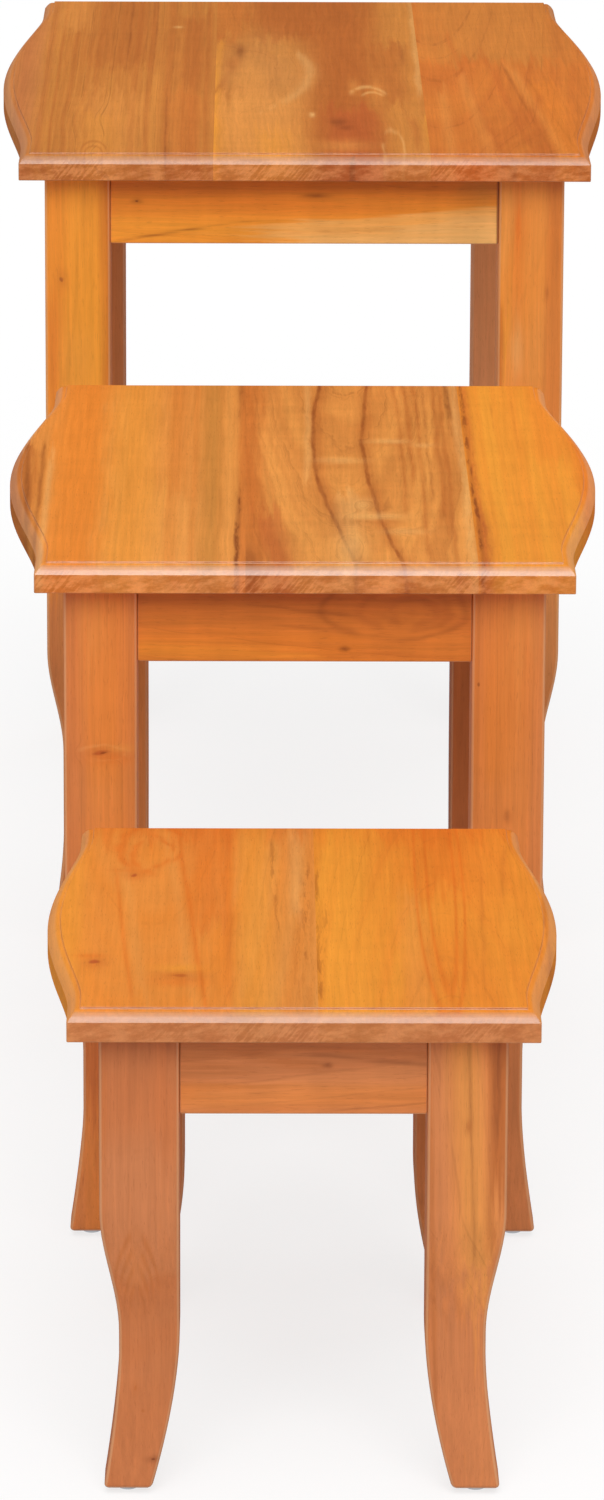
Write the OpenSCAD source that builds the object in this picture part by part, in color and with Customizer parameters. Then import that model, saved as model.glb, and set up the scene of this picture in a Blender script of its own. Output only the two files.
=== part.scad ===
// Nest of three wooden tables, standing in a row from the large one to the small one.
// Millimetres, +Z up. The origin is on the floor, under the middle of the row.
// +Y runs from the small table to the large one, and +X is to the right.

/* [Large table] */
// Length of the large top, front to back of the row
large_length = 640; // [620:1:680]
// Width of the large top at its straight ends
large_end_width = 384; // [370:1:400]
// How far each long side of the large top swells out
large_swell = 20; // [12:1:26]
// Height of the large table
large_height = 560; // [540:1:600]
// Height at which the large legs start to bend
large_knee = 212; // [170:1:260]

/* [Medium table] */
// Width of the medium top at its straight ends
medium_end_width = 322; // [310:1:334]
// How far each long side of the medium top swells out
medium_swell = 22; // [12:1:26]
// Height of the medium table
medium_height = 427; // [400:1:450]
// Height at which the medium legs start to bend
medium_knee = 190; // [160:1:230]

/* [Small table] */
// Width of the small top at its straight ends
small_end_width = 257; // [245:1:270]
// How far each long side of the small top swells out
small_swell = 15; // [10:1:20]
// Height of the small table
small_height = 285; // [270:1:310]
// Height at which the small legs start to bend
small_knee = 166; // [150:1:180]

/* [Row] */
// Free length at each end of a table when it stands nested in the next larger one
nest_clearance = 9; // [4:0.5:14]
// Gap between the tops of the large and the medium table
first_gap = 107; // [60:1:160]
// Gap between the tops of the medium and the small table
second_gap = 65; // [40:1:120]
// Sideways shift of the medium table in the row
medium_shift = -3.5; // [-10:0.5:10]
// Sideways shift of the small table in the row
small_shift = -6.5; // [-10:0.5:10]

/* [Tops] */
// Thickness of every top
top_t = 18; // [16:0.5:22]
// Radius of the rounded corners seen from above
corner_r = 7; // [4:0.5:10]
// Height of the small step round the top face
quirk_h = 2.5; // [1.5:0.1:3]
// Radius of the rounded moulding below the step
bead_r = 4.3; // [3:0.1:6]
// Width of the step between the moulding and the top face
quirk_w = 1.2; // [0.8:0.1:3]
// Share of the half length over which the long side swells
swell_reach = 0.84; // [0.76:0.01:0.9]

/* [Frame] */
// Side of the square leg at its top
leg_w = 44; // [40:1:46]
// Height of the apron rails
apron_h = 46; // [40:1:52]
// Thickness of the apron rails
apron_t = 18; // [16:0.5:20]
// How far the rails stand back from the faces of the legs
apron_setback = 2.5; // [1:0.5:4]
// Overhang of the top past the legs at its ends
end_overhang = 14.5; // [10:0.5:20]
// Overhang of the top past the legs at its long sides, at the straight ends
side_overhang = 17; // [12:0.5:20]

/* [Legs] */
// How far the outer face draws in at the waist
waist_in = 10.5; // [7:0.5:12]
// Height of the bend from the knee to the waist
bend_h = 74; // [60:1:80]
// Height at which the outer face starts to flare out to the foot
ankle_z = 80; // [70:1:90]
// How far in the outer face ends at the foot
foot_in = 2; // [1:0.5:4]
// Height at which the inner face starts to follow the flare
heel_z = 92; // [80:1:100]
// How far the inner face moves out at the foot
heel_out = 15.5; // [10:0.5:18]
// Bevel round the bottom of the foot
foot_bevel = 1.2; // [0.5:0.1:2]

/* [Joinery] */
// Diameter of the dowels
dowel_d = 8; // [6:0.5:10]
// Length of the dowels, half in the leg and half in the rail
dowel_len = 36; // [28:1:38]
// Height of the glue blocks
block_h = 34; // [28:1:36]
// Reach of the glue blocks along each rail
block_reach = 40; // [34:1:42]
// Diameter of the screws in the glue blocks
block_screw_d = 4.5; // [4:0.1:5]
// Length of the screws in the glue blocks
block_screw_len = 36; // [30:1:38]
// Diameter of the screws in the buttons
button_screw_d = 3.5; // [3:0.1:4]
// Length of the screws in the buttons
button_screw_len = 24; // [22:1:26]
// Length of a button along its rail
button_w = 30; // [24:1:34]
// Reach of a button from its rail
button_reach = 24; // [20:1:28]
// Thickness of a button
button_t = 14; // [12:0.5:15]
// Thickness of a button's tongue
tongue_t = 6; // [5:0.5:7]
// Length of a button's tongue in the groove of the rail
tongue_len = 7; // [5:0.5:8]
// Diameter of the foot glides
glide_d = 12; // [10:0.5:14]
// Height of the foot glides
glide_h = 3.5; // [2.5:0.1:5]
// Width of the rounding round the sole of a glide
glide_edge = 1.5; // [0.5:0.1:2]

/* [Hidden] */
LARGE = 0;
MEDIUM = 1;
SMALL = 2;
TABLES = ["large", "medium", "small"];
FRONT = -1;
BACK = 1;
LEFT = -1;
RIGHT = 1;

// Loose fit of dowels and screws in their holes, on the diameter
fit_gap = 0.1;
// Clearance of a tongue in its groove
groove_gap = 0.3;
screw_head_h = 2.5;
nail_d = 2.5;
nail_len = 14;
swell_steps = 22;
corner_steps = 5;
bead_steps = 5;
bend_steps = 10;
round_fn = 40;

// Each smaller table fits between the end leg pairs of the next larger one
function nested_length(outer) = outer - 2 * (end_overhang + leg_w + nest_clearance);
medium_length = nested_length(large_length);
small_length = nested_length(medium_length);

lengths = [large_length, medium_length, small_length];
end_widths = [large_end_width, medium_end_width, small_end_width];
swells = [large_swell, medium_swell, small_swell];
heights = [large_height, medium_height, small_height];
knees = [large_knee, medium_knee, small_knee];
shifts = [0, medium_shift, small_shift];

// Seams between the glued boards of each top, as shares of the end width from its middle
seams = [[-0.5, -0.16, 0.22, 0.5], [-0.5, -0.11, 0.32, 0.5], [-0.5, 0.03, 0.5]];

// Middle of each table along the row
row_length = large_length + first_gap + medium_length + second_gap + small_length;
large_y = row_length / 2 - large_length / 2;
medium_y = large_y - (large_length + medium_length) / 2 - first_gap;
small_y = medium_y - (medium_length + small_length) / 2 - second_gap;
row_y = [large_y, medium_y, small_y];

function under_top(t) = heights[t] - top_t;
function half_w(t) = end_widths[t] / 2 - side_overhang;
function half_l(t) = lengths[t] / 2 - end_overhang;
function rail_bottom(t) = under_top(t) - apron_h;
rail_inner = apron_setback + apron_t;
rail_middle = apron_setback + apron_t / 2;
dowel_heights = [0.27 * apron_h, 0.73 * apron_h];
bead_top = top_t - quirk_h;
moulding_w = bead_r + quirk_w;

// Names of the pieces, in the order in which they are drawn
board_names = [["left_board", "centre_board", "right_board"],
    ["left_board", "centre_board", "right_board"],
    ["left_board", "right_board"]];
leg_names = ["front_left_leg", "front_right_leg", "back_left_leg", "back_right_leg"];
leg_sides = [[LEFT, FRONT], [RIGHT, FRONT], [LEFT, BACK], [RIGHT, BACK]];
frame_names = ["front_apron", "back_apron", "left_apron", "right_apron", "corner_blocks",
    "block_screws", "top_buttons", "button_screws", "apron_dowels", "foot_glides"];
NODES = [for (t = [LARGE:SMALL]) for (piece = concat(board_names[t], leg_names, frame_names))
    str(TABLES[t], "_", piece)];
node = "all";

function wanted(t, piece) = node == "all" || node == str(TABLES[t], "_", piece);

// Outline of a top: rounded corners, straight ends, and a swell along each long side
function swell_at(s) = abs(s) >= swell_reach ? 0 : pow(1 - pow(s / swell_reach, 2), 1.5);
function side_points(t, inset) = [for (i = [0:swell_steps])
    let (s = swell_reach * (2 * i / swell_steps - 1))
    [end_widths[t] / 2 - inset + swells[t] * swell_at(s), s * lengths[t] / 2]];
function corner_points(t, inset) = [for (i = [0:corner_steps])
    let (a = 90 * i / corner_steps)
    [end_widths[t] / 2 - inset - corner_r * (1 - cos(a)),
     lengths[t] / 2 - inset - corner_r * (1 - sin(a))]];
function flip_x(points) = [for (p = points) [-p[0], p[1]]];
function flip_y(points) = [for (p = points) [p[0], -p[1]]];
function backward(points) = [for (i = [len(points) - 1:-1:0]) points[i]];
function half_outline(t, inset) =
    concat(flip_y(backward(corner_points(t, inset))), side_points(t, inset), corner_points(t, inset));
function outline(t, inset) =
    concat(half_outline(t, inset), backward(flip_x(half_outline(t, inset))));

// One leg face seen square on: distance in from the outer face, and height
function smooth(s) = s * s * (3 - 2 * s);
function share(low, high, z) = min(1, max(0, (z - low) / (high - low)));
function outer_in(t, z) = z > ankle_z
    ? waist_in * smooth(1 - share(knees[t] - bend_h, knees[t], z))
    : waist_in - (waist_in - foot_in) * pow(1 - share(glide_h, ankle_z, z), 1.5);
function inner_in(z) = leg_w - heel_out * pow(1 - share(glide_h, heel_z, z), 1.7);
sole_z = glide_h + foot_bevel;
function leg_face(t) = concat(
    [[outer_in(t, glide_h) + foot_bevel, glide_h]],
    [for (i = [0:bend_steps]) let (z = sole_z + (ankle_z - sole_z) * i / bend_steps) [outer_in(t, z), z]],
    [for (i = [0:bend_steps]) let (z = knees[t] - bend_h * (1 - i / bend_steps)) [outer_in(t, z), z]],
    [[0, under_top(t)], [leg_w, under_top(t)]],
    [for (i = [0:bend_steps]) let (z = heel_z - (heel_z - sole_z) * i / bend_steps) [inner_in(z), z]],
    [[inner_in(glide_h) - foot_bevel, glide_h]]);
foot_middle = (foot_in + leg_w - heel_out) / 2;

module place(t) {
    translate([shifts[t], row_y[t], 0]) children();
}

// Puts a piece drawn from the leg's outer corner, pointing inwards, at one corner of a table
module at_corner(t, side, end) {
    translate([side * half_w(t), end * half_l(t), 0])
        mirror([side > 0 ? 1 : 0, 0, 0])
            mirror([0, end > 0 ? 1 : 0, 0])
                children();
}

module at_each_corner(t) {
    for (side = [LEFT, RIGHT]) for (end = [FRONT, BACK]) at_corner(t, side, end) children();
}

// Dowels drawn from the leg's outer corner: a pair to the end rail and a pair to the side rail
module corner_dowels(t, extra) {
    for (z = dowel_heights) {
        translate([leg_w - dowel_len / 2, rail_middle, rail_bottom(t) + z])
            rotate([0, 90, 0])
                cylinder(d = dowel_d + extra, h = dowel_len, $fn = round_fn);
        translate([rail_middle, leg_w - dowel_len / 2, rail_bottom(t) + z])
            rotate([-90, 0, 0])
                cylinder(d = dowel_d + extra, h = dowel_len, $fn = round_fn);
    }
}

// Screw through a glue block into the inner corner of the leg, at 45 degrees
block_middle = (rail_inner + leg_w + block_reach) / 2;
module corner_screw(t, extra, head) {
    translate([block_middle, block_middle, under_top(t) - apron_h / 2])
        rotate([0, 0, -135]) {
            rotate([0, 90, 0])
                cylinder(d = block_screw_d + extra, h = block_screw_len, $fn = round_fn);
            if (head)
                translate([-screw_head_h, 0, 0])
                    rotate([0, 90, 0])
                        cylinder(d = 2 * block_screw_d, h = screw_head_h, $fn = round_fn);
        }
}

module glide(extra) {
    translate([foot_middle, foot_middle, 0]) {
        if (extra == 0)
            rotate_extrude($fn = round_fn)
                polygon([[0, 0], [glide_d / 2 - glide_edge, 0], [glide_d / 2, glide_edge],
                    [glide_d / 2, glide_h], [0, glide_h]]);
        translate([0, 0, glide_h - (extra == 0 ? 0.5 : 0)])
            cylinder(d = nail_d + extra, h = nail_len + (extra == 0 ? 0.5 : 0), $fn = round_fn);
    }
}

// Places of the buttons: two along each long side and one at each end
function button_places(t) = concat(
    [for (side = [LEFT, RIGHT]) for (end = [FRONT, BACK])
        [side * (half_w(t) - rail_inner), end * half_l(t) * 0.32, side > 0 ? 180 : 0]],
    [for (end = [FRONT, BACK]) [0, end * (half_l(t) - rail_inner), end > 0 ? -90 : 90]]);

// Each button is drawn pointing along +X from the inner face of its rail
module at_each_button(t) {
    for (place = button_places(t))
        translate([place[0], place[1], under_top(t)]) rotate([0, 0, place[2]]) children();
}

module button_groove() {
    translate([-tongue_len - groove_gap, -button_w / 2 - groove_gap, -button_t - groove_gap])
        cube([2 * tongue_len, button_w + 2 * groove_gap, tongue_t + 2 * groove_gap]);
}

module button_screw(extra, head) {
    translate([button_reach * 0.6, 0, -button_t]) {
        cylinder(d = button_screw_d + extra, h = button_screw_len, $fn = round_fn);
        if (head)
            translate([0, 0, -screw_head_h])
                cylinder(d = 2 * button_screw_d, h = screw_head_h, $fn = round_fn);
    }
}

// The moulded top of a table: prisms of the outline, one inside the other, each a little higher
module moulded_top(t) {
    fascia_h = bead_top - bead_r;
    translate([0, 0, under_top(t)]) {
        linear_extrude(fascia_h) polygon(outline(t, 0));
        for (i = [1:bead_steps]) {
            low = 90 * (i - 1) / bead_steps;
            high = 90 * i / bead_steps;
            linear_extrude(fascia_h + bead_r * sin(high))
                polygon(outline(t, bead_r * (1 - cos((low + high) / 2))));
        }
        linear_extrude(top_t) polygon(outline(t, moulding_w));
    }
}

module board(t, index) {
    low = seams[t][index] * end_widths[t] - (index == 0 ? swells[t] : 0);
    last = len(seams[t]) - 2;
    high = seams[t][index + 1] * end_widths[t] + (index == last ? swells[t] : 0);
    color("sandybrown")
        difference() {
            intersection() {
                moulded_top(t);
                translate([low, -lengths[t] / 2, under_top(t)])
                    cube([high - low, lengths[t], top_t]);
            }
            at_each_button(t) button_screw(fit_gap, false);
        }
}

module leg(t, side, end) {
    color("peru")
        at_corner(t, side, end)
            difference() {
                intersection() {
                    translate([0, leg_w, 0]) rotate([90, 0, 0]) linear_extrude(leg_w) polygon(leg_face(t));
                    rotate([90, 0, 90]) linear_extrude(leg_w) polygon(leg_face(t));
                }
                corner_dowels(t, fit_gap);
                corner_screw(t, fit_gap, false);
                glide(fit_gap);
            }
}

// End rails run from side to side, side rails run along the row
module end_apron(t, end) {
    span = 2 * (half_w(t) - leg_w);
    low_y = end > 0 ? half_l(t) - rail_inner : -half_l(t) + apron_setback;
    color("chocolate")
        difference() {
            translate([-span / 2, low_y, rail_bottom(t)]) cube([span, apron_t, apron_h]);
            at_each_corner(t) corner_dowels(t, fit_gap);
            at_each_button(t) button_groove();
        }
}

module side_apron(t, side) {
    span = 2 * (half_l(t) - leg_w);
    low_x = side > 0 ? half_w(t) - rail_inner : -half_w(t) + apron_setback;
    color("chocolate")
        difference() {
            translate([low_x, -span / 2, rail_bottom(t)]) cube([apron_t, span, apron_h]);
            at_each_corner(t) corner_dowels(t, fit_gap);
            at_each_button(t) button_groove();
        }
}

module corner_blocks(t) {
    far = leg_w + block_reach;
    color("burlywood")
        at_each_corner(t)
            difference() {
                translate([0, 0, under_top(t) - apron_h / 2 - block_h / 2])
                    linear_extrude(block_h)
                        polygon([[rail_inner, leg_w], [rail_inner, far], [far, rail_inner],
                            [leg_w, rail_inner], [leg_w, leg_w]]);
                corner_screw(t, fit_gap, false);
            }
}

module block_screws(t) {
    color("silver") at_each_corner(t) corner_screw(t, 0, true);
}

module top_buttons(t) {
    color("burlywood")
        at_each_button(t)
            difference() {
                union() {
                    translate([0, -button_w / 2, -button_t]) cube([button_reach, button_w, button_t]);
                    translate([-tongue_len, -button_w / 2, -button_t])
                        cube([tongue_len + 1, button_w, tongue_t]);
                }
                button_screw(fit_gap, false);
            }
}

module button_screws(t) {
    color("silver") at_each_button(t) button_screw(0, true);
}

module apron_dowels(t) {
    color("wheat") at_each_corner(t) corner_dowels(t, 0);
}

module foot_glides(t) {
    color("gainsboro") at_each_corner(t) glide(0);
}

for (t = [LARGE:SMALL]) place(t) {
    for (i = [0:len(board_names[t]) - 1]) if (wanted(t, board_names[t][i])) board(t, i);
    for (i = [0:3]) if (wanted(t, leg_names[i])) leg(t, leg_sides[i][0], leg_sides[i][1]);
    if (wanted(t, "front_apron")) end_apron(t, FRONT);
    if (wanted(t, "back_apron")) end_apron(t, BACK);
    if (wanted(t, "left_apron")) side_apron(t, LEFT);
    if (wanted(t, "right_apron")) side_apron(t, RIGHT);
    if (wanted(t, "corner_blocks")) corner_blocks(t);
    if (wanted(t, "block_screws")) block_screws(t);
    if (wanted(t, "top_buttons")) top_buttons(t);
    if (wanted(t, "button_screws")) button_screws(t);
    if (wanted(t, "apron_dowels")) apron_dowels(t);
    if (wanted(t, "foot_glides")) foot_glides(t);
}
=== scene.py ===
import math
from typing import NamedTuple

import bmesh
import bpy
from bpy.props import FloatProperty, FloatVectorProperty, IntProperty, PointerProperty
from mathutils import Matrix, Vector


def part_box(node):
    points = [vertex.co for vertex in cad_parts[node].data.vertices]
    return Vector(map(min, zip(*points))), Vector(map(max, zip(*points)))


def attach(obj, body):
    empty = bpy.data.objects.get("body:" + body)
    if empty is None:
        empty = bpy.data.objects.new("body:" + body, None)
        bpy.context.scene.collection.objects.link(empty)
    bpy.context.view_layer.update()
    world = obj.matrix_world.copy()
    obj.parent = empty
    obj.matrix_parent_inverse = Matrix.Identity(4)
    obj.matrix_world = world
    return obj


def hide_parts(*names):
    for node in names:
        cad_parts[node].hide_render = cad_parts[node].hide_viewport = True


bl_info = {
    "name": "Nest of Three Tables",
    "version": (1, 0, 0),
    "blender": (4, 5, 0),
    "location": "View3D > Sidebar > Nest",
    "description": "Moulded tops, curved legs, rails and lacquered wood for a nest of three tables",
    "category": "Add Mesh",
}

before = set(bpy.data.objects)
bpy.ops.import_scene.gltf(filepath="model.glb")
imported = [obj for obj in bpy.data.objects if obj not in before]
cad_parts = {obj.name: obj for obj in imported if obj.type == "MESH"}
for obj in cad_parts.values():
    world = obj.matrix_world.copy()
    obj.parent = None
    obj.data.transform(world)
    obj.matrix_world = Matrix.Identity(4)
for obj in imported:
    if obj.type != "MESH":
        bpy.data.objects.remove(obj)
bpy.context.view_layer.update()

MM = 0.001
TABLES = ("large", "medium", "small")
TOP_BOARDS = {
    "large": ("left_board", "centre_board", "right_board"),
    "medium": ("left_board", "centre_board", "right_board"),
    "small": ("left_board", "right_board"),
}
# Quarter turns that carry the front left leg to each corner, with the corner's side and end
LEG_CORNERS = {
    "front_left_leg": (0, -1, -1),
    "front_right_leg": (1, 1, -1),
    "back_right_leg": (2, 1, 1),
    "back_left_leg": (3, -1, 1),
}
APRONS = ("front_apron", "back_apron", "left_apron", "right_apron")
# Edges that turn by less than the first angle are shaded round, and by more than the second eased
SMOOTH_ANGLE = math.radians(32)
EASED_ANGLE = math.radians(50)
# A face is level when its normal is at least this upright
LEVEL = 0.999
TOLERANCE = 1e-5


def srgb(red, green, blue):
    """The linear colour of an 8-bit screen colour, with full alpha."""
    def linear(channel):
        share = channel / 255
        return share / 12.92 if share <= 0.04045 else ((share + 0.055) / 1.055) ** 2.4
    return (linear(red), linear(green), linear(blue), 1.0)


def length(name, description, millimetres):
    """A length that a user can change, kept in metres."""
    return FloatProperty(name=name, description=description, default=millimetres * MM,
                         min=0.0, unit="LENGTH")


def colour(name, description, red, green, blue):
    """A colour that a user can change, given as it looks on screen."""
    return FloatVectorProperty(name=name, description=description, subtype="COLOR", size=4,
                               min=0.0, max=1.0, default=srgb(red, green, blue))


class TopSizes(bpy.types.PropertyGroup):
    side_overhang: length("Side overhang", "Reach of a top past its legs at the straight ends", 17)
    swell_reach: FloatProperty(name="Swell reach", default=0.84, min=0.5, max=0.95,
                               description="Share of the half length over which a long side swells")
    station_gap: length("Station gap", "Distance between the cuts along a long side", 10)
    bead_sweep: length("Bead sweep", "Distance over the bead, from its foot up to the step", 9)
    bead_lean: FloatProperty(name="Bead lean", default=math.radians(32), min=0.0, subtype="ANGLE",
                             description="How far the foot of the bead leans back from upright")
    bead_cuts: IntProperty(name="Bead cuts", description="Flats that make up the bead", default=9,
                           min=4, max=24)
    step_height: length("Step height", "Rise from the bead to the top face", 1.3)
    step_width: length("Step width", "Flat ledge between the bead and the step", 0.7)
    step_arris: length("Step arris", "Rounding along the edge of the top face", 0.35)
    outer_arris: length("Outer arris", "Rounding along the underside and up the corners", 0.9)


class LegSizes(bpy.types.PropertyGroup):
    large_knee: length("Large knee", "Height at which the large legs start to bend", 212)
    medium_knee: length("Medium knee", "Height at which the medium legs start to bend", 190)
    small_knee: length("Small knee", "Height at which the small legs start to bend", 166)
    waist_in: length("Waist", "How far the outer faces draw in at the waist", 10.5)
    bend_height: length("Bend", "Height of the bend from the knee to the waist", 74)
    ankle_height: length("Ankle", "Height at which the outer faces start to flare out", 80)
    foot_in: length("Foot", "How far in the outer faces end at the foot", 2)
    heel_height: length("Heel", "Height at which the inner faces follow the flare", 92)
    heel_out: length("Heel reach", "How far the inner faces move out at the foot", 15.5)
    edge_radius: length("Edge radius", "Rounding along the edges of a leg", 2.6)
    bend_stations: IntProperty(name="Bend stations", description="Cuts in each bend", default=14,
                               min=6, max=40)


class FittingSizes(bpy.types.PropertyGroup):
    apron_arris: length("Apron arris", "Rounding along the edges of a rail", 1.2)
    groove_play: length("Groove play", "Room round a button's tongue in its groove", 0.3)
    glide_dome: length("Glide dome", "Rounding round the sole of a glide", 1.5)


class WoodColours(bpy.types.PropertyGroup):
    cream: colour("Cream", "Palest sapwood lines", 240, 184, 112)
    gold: colour("Gold", "Bright golden sapwood", 237, 154, 57)
    honey: colour("Honey", "Light wood of the tops", 228, 150, 74)
    orange: colour("Orange", "Saturated orange bands", 232, 134, 50)
    amber: colour("Amber", "Middle tone of the tops", 214, 124, 53)
    tan: colour("Tan", "Dull light tone of the large top", 204, 130, 60)
    russet: colour("Russet", "Deep orange tone", 198, 106, 46)
    ember: colour("Ember", "Deepest orange of the small top", 222, 110, 38)
    blush: colour("Blush", "Pinkish brown at the outer edges", 198, 122, 76)
    pale_brown: colour("Pale brown", "Inside of the swirls", 204, 136, 72)
    brown: colour("Brown", "Brown growth bands", 180, 98, 44)
    # Heartwood also paints the shade low on the medium table's front left leg
    heart: colour("Heartwood", "Reddish heartwood", 186, 92, 46)
    # Umber also paints the shadows in the gaps at the ends of the large and medium front rails
    umber: colour("Umber", "Dark growth lines", 128, 64, 32)
    olive: colour("Olive", "Greenish brown streaks", 184, 122, 54)
    rose: colour("Rose", "Light tone of the legs", 222, 136, 76)
    clay: colour("Clay", "Deep tone of the legs", 194, 108, 58)
    end_pale: colour("Pale end grain", "Light flecks where a board is cut across", 220, 148, 100)
    end_deep: colour("Deep end grain", "Stain taken up by the cut ends", 160, 86, 52)
    # The worn edge colour is partly rubbed lacquer and partly a painted highlight on the rounded
    # edges
    worn: colour("Worn edge", "Lacquer rubbed thin on the rounded edges", 244, 190, 140)
    raw: colour("Raw wood", "Unlacquered blocks and buttons", 206, 160, 106)
    raw_dark: colour("Raw wood lines", "Growth lines of the blocks and buttons", 164, 116, 70)
    dowel: colour("Dowel", "Beech dowels", 220, 182, 134)
    steel: colour("Steel", "Zinc plated screws", 176, 178, 182)
    glide: colour("Glide", "Nickel plated glides", 190, 192, 196)


class StageSettings(bpy.types.PropertyGroup):
    lens: FloatProperty(name="Lens", description="Focal length on a 36 mm sensor", default=173.2,
                        min=20.0, unit="CAMERA")
    key: FloatProperty(name="Key light", description="Light from the front and above", default=1.04,
                       min=0.0)
    high: FloatProperty(name="High light", description="Light from high above the front",
                        default=0.58, min=0.0)
    back: FloatProperty(name="Back light", description="Weak light from behind the row",
                        default=0.26, min=0.0)
    fill: FloatProperty(name="Fill light", description="Even light from all round", default=0.3,
                        min=0.0)
    floor_lit: FloatProperty(name="Floor light share", default=0.24, min=0.0, max=1.0,
                             description="Share of the floor's whiteness that a shadow takes away")
    floor: colour("Floor", "Colour that the floor throws back on to the tables", 214, 212, 208)


# Modelling

def only(piece):
    """Selects one object alone and makes it the active one."""
    bpy.ops.object.select_all(action="DESELECT")
    piece.select_set(True)
    bpy.context.view_layer.objects.active = piece


def edit(piece):
    only(piece)
    bpy.ops.object.mode_set(mode="EDIT")


def leave_edit():
    bpy.ops.object.mode_set(mode="OBJECT")


def choose(piece, kind, wanted):
    """In edit mode, selects only the vertices, edges or faces that pass the test."""
    bpy.ops.mesh.select_mode(type=kind)
    bpy.ops.mesh.select_all(action="DESELECT")
    mesh = bmesh.from_edit_mesh(piece.data)
    items = {"VERT": mesh.verts, "EDGE": mesh.edges, "FACE": mesh.faces}[kind]
    for item in [item for item in items if wanted(item)]:
        item.select_set(True)
    mesh.select_flush_mode()
    bmesh.update_edit_mesh(piece.data)


def near(a, b):
    return abs(a - b) < TOLERANCE


def at_height(item, height):
    return all(near(vertex.co.z, height) for vertex in item.verts)


def rim_test(height, faces_up):
    """Picks the outline edges of a flat face at a height."""
    def test(edge):
        level = [face for face in edge.link_faces if abs(face.normal.z) > LEVEL]
        return at_height(edge, height) and len(level) == 1 and (level[0].normal.z > 0) == faces_up
    return test


def extrude(x=0.0, y=0.0, z=0.0):
    bpy.ops.mesh.extrude_region_move(TRANSFORM_OT_translate={"value": (x, y, z)})


def settle(piece):
    """Moves an object's place, turn and size into its mesh."""
    only(piece)
    bpy.ops.object.transform_apply(location=True, rotation=True, scale=True)


def settle_new(name, size, middle):
    """Names the primitive that was just added, and settles it at its size and place."""
    piece = bpy.context.object
    piece.name = name
    piece.scale = size
    piece.location = middle
    settle(piece)
    return piece


def add_plane(name, low, high, height):
    """A rectangle at a height, between two corners."""
    bpy.ops.object.select_all(action="DESELECT")
    bpy.ops.mesh.primitive_plane_add(size=1.0)
    return settle_new(name, (high.x - low.x, high.y - low.y, 1.0),
                      ((low.x + high.x) / 2, (low.y + high.y) / 2, height))


def add_box(name, low, high):
    """A box between two corners."""
    bpy.ops.object.select_all(action="DESELECT")
    bpy.ops.mesh.primitive_cube_add(size=1.0)
    return settle_new(name, high - low, (low + high) / 2)


def copy_of(piece, name):
    twin = piece.copy()
    twin.data = piece.data.copy()
    twin.name = name
    bpy.context.scene.collection.objects.link(twin)
    return twin


def apply_modifier(piece, kind, **settings):
    only(piece)
    modifier = piece.modifiers.new(kind.title(), kind)
    for name, value in settings.items():
        setattr(modifier, name, value)
    bpy.ops.object.modifier_apply(modifier=modifier.name)


def ease_edges(piece, radius, segments):
    """Rounds the sharp edges of a piece."""
    apply_modifier(piece, "BEVEL", width=radius, segments=segments, limit_method="ANGLE",
                   angle_limit=EASED_ANGLE)


def finish_shading(piece):
    """Smooth shading over the rounded edges, with the flat faces kept flat."""
    only(piece)
    bpy.ops.object.shade_smooth_by_angle(angle=SMOOTH_ANGLE)
    apply_modifier(piece, "WEIGHTED_NORMAL", keep_sharp=True)


def recalculate(piece):
    edit(piece)
    bpy.ops.mesh.select_all(action="SELECT")
    bpy.ops.mesh.normals_make_consistent(inside=False)
    leave_edit()


def give_material(piece, material):
    piece.data.materials.clear()
    piece.data.materials.append(material)


def stand_for(piece, node, body, material):
    """Puts a finished piece in the place of its CAD node."""
    give_material(piece, material)
    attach(piece, body)
    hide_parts(node)


def box_round(points):
    """Lowest and highest corners of the box round some points."""
    return (Vector([min(point[axis] for point in points) for axis in range(3)]),
            Vector([max(point[axis] for point in points) for axis in range(3)]))


def table_box(table):
    """Lowest and highest corners of a table's top."""
    boxes = [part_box(f"{table}_{board}") for board in TOP_BOARDS[table]]
    return box_round([corner for box in boxes for corner in box])


def leg_corner(table):
    """The outer corner of the front left leg, at the top of the leg."""
    low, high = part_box(f"{table}_front_left_leg")
    return Vector((low.x, low.y, high.z))


# Tops

# How gently the swell of a long side runs out at its ends
SWELL_POWER = 1.5


def bead_flats(sizes):
    """Reach inwards and rise of each flat of the bead, steep at its foot and level at its top."""
    stride = sizes.bead_sweep / sizes.bead_cuts
    flats = []
    for cut in range(sizes.bead_cuts):
        share = (cut + 0.5) / sizes.bead_cuts
        lean = sizes.bead_lean + (math.pi / 2 - sizes.bead_lean) * share ** 2
        flats.append((stride * math.sin(lean), stride * math.cos(lean)))
    return flats


def swelled_outline(table, sizes):
    """The flat outline of a table's top, with its long sides swelled."""
    low, high = table_box(table)
    middle = (low + high) / 2
    end_half = middle.x - leg_corner(table).x + sizes.side_overhang
    swell = (high.x - low.x) / 2 - end_half
    half_length = (high.y - low.y) / 2
    outline = add_plane(f"{table}_slab", Vector((middle.x - end_half, low.y)),
                        Vector((middle.x + end_half, high.y)), low.z)
    cuts = 2 * round(half_length / sizes.station_gap) - 1
    edit(outline)
    choose(outline, "EDGE", lambda edge: near(edge.verts[0].co.x, edge.verts[1].co.x))
    bpy.ops.mesh.subdivide(number_cuts=cuts)
    for station in range(1, cuts // 2 + 2):
        away = abs(2 * station / (cuts + 1) - 1)
        if away < sizes.swell_reach:
            bulge = swell * (1 - (away / sizes.swell_reach) ** 2) ** SWELL_POWER
            choose(outline, "VERT",
                   lambda vertex: near(abs(vertex.co.y - middle.y), away * half_length))
            bpy.ops.transform.resize(value=(1 + bulge / end_half, 1, 1), center_override=middle)
    leave_edit()
    return outline


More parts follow.
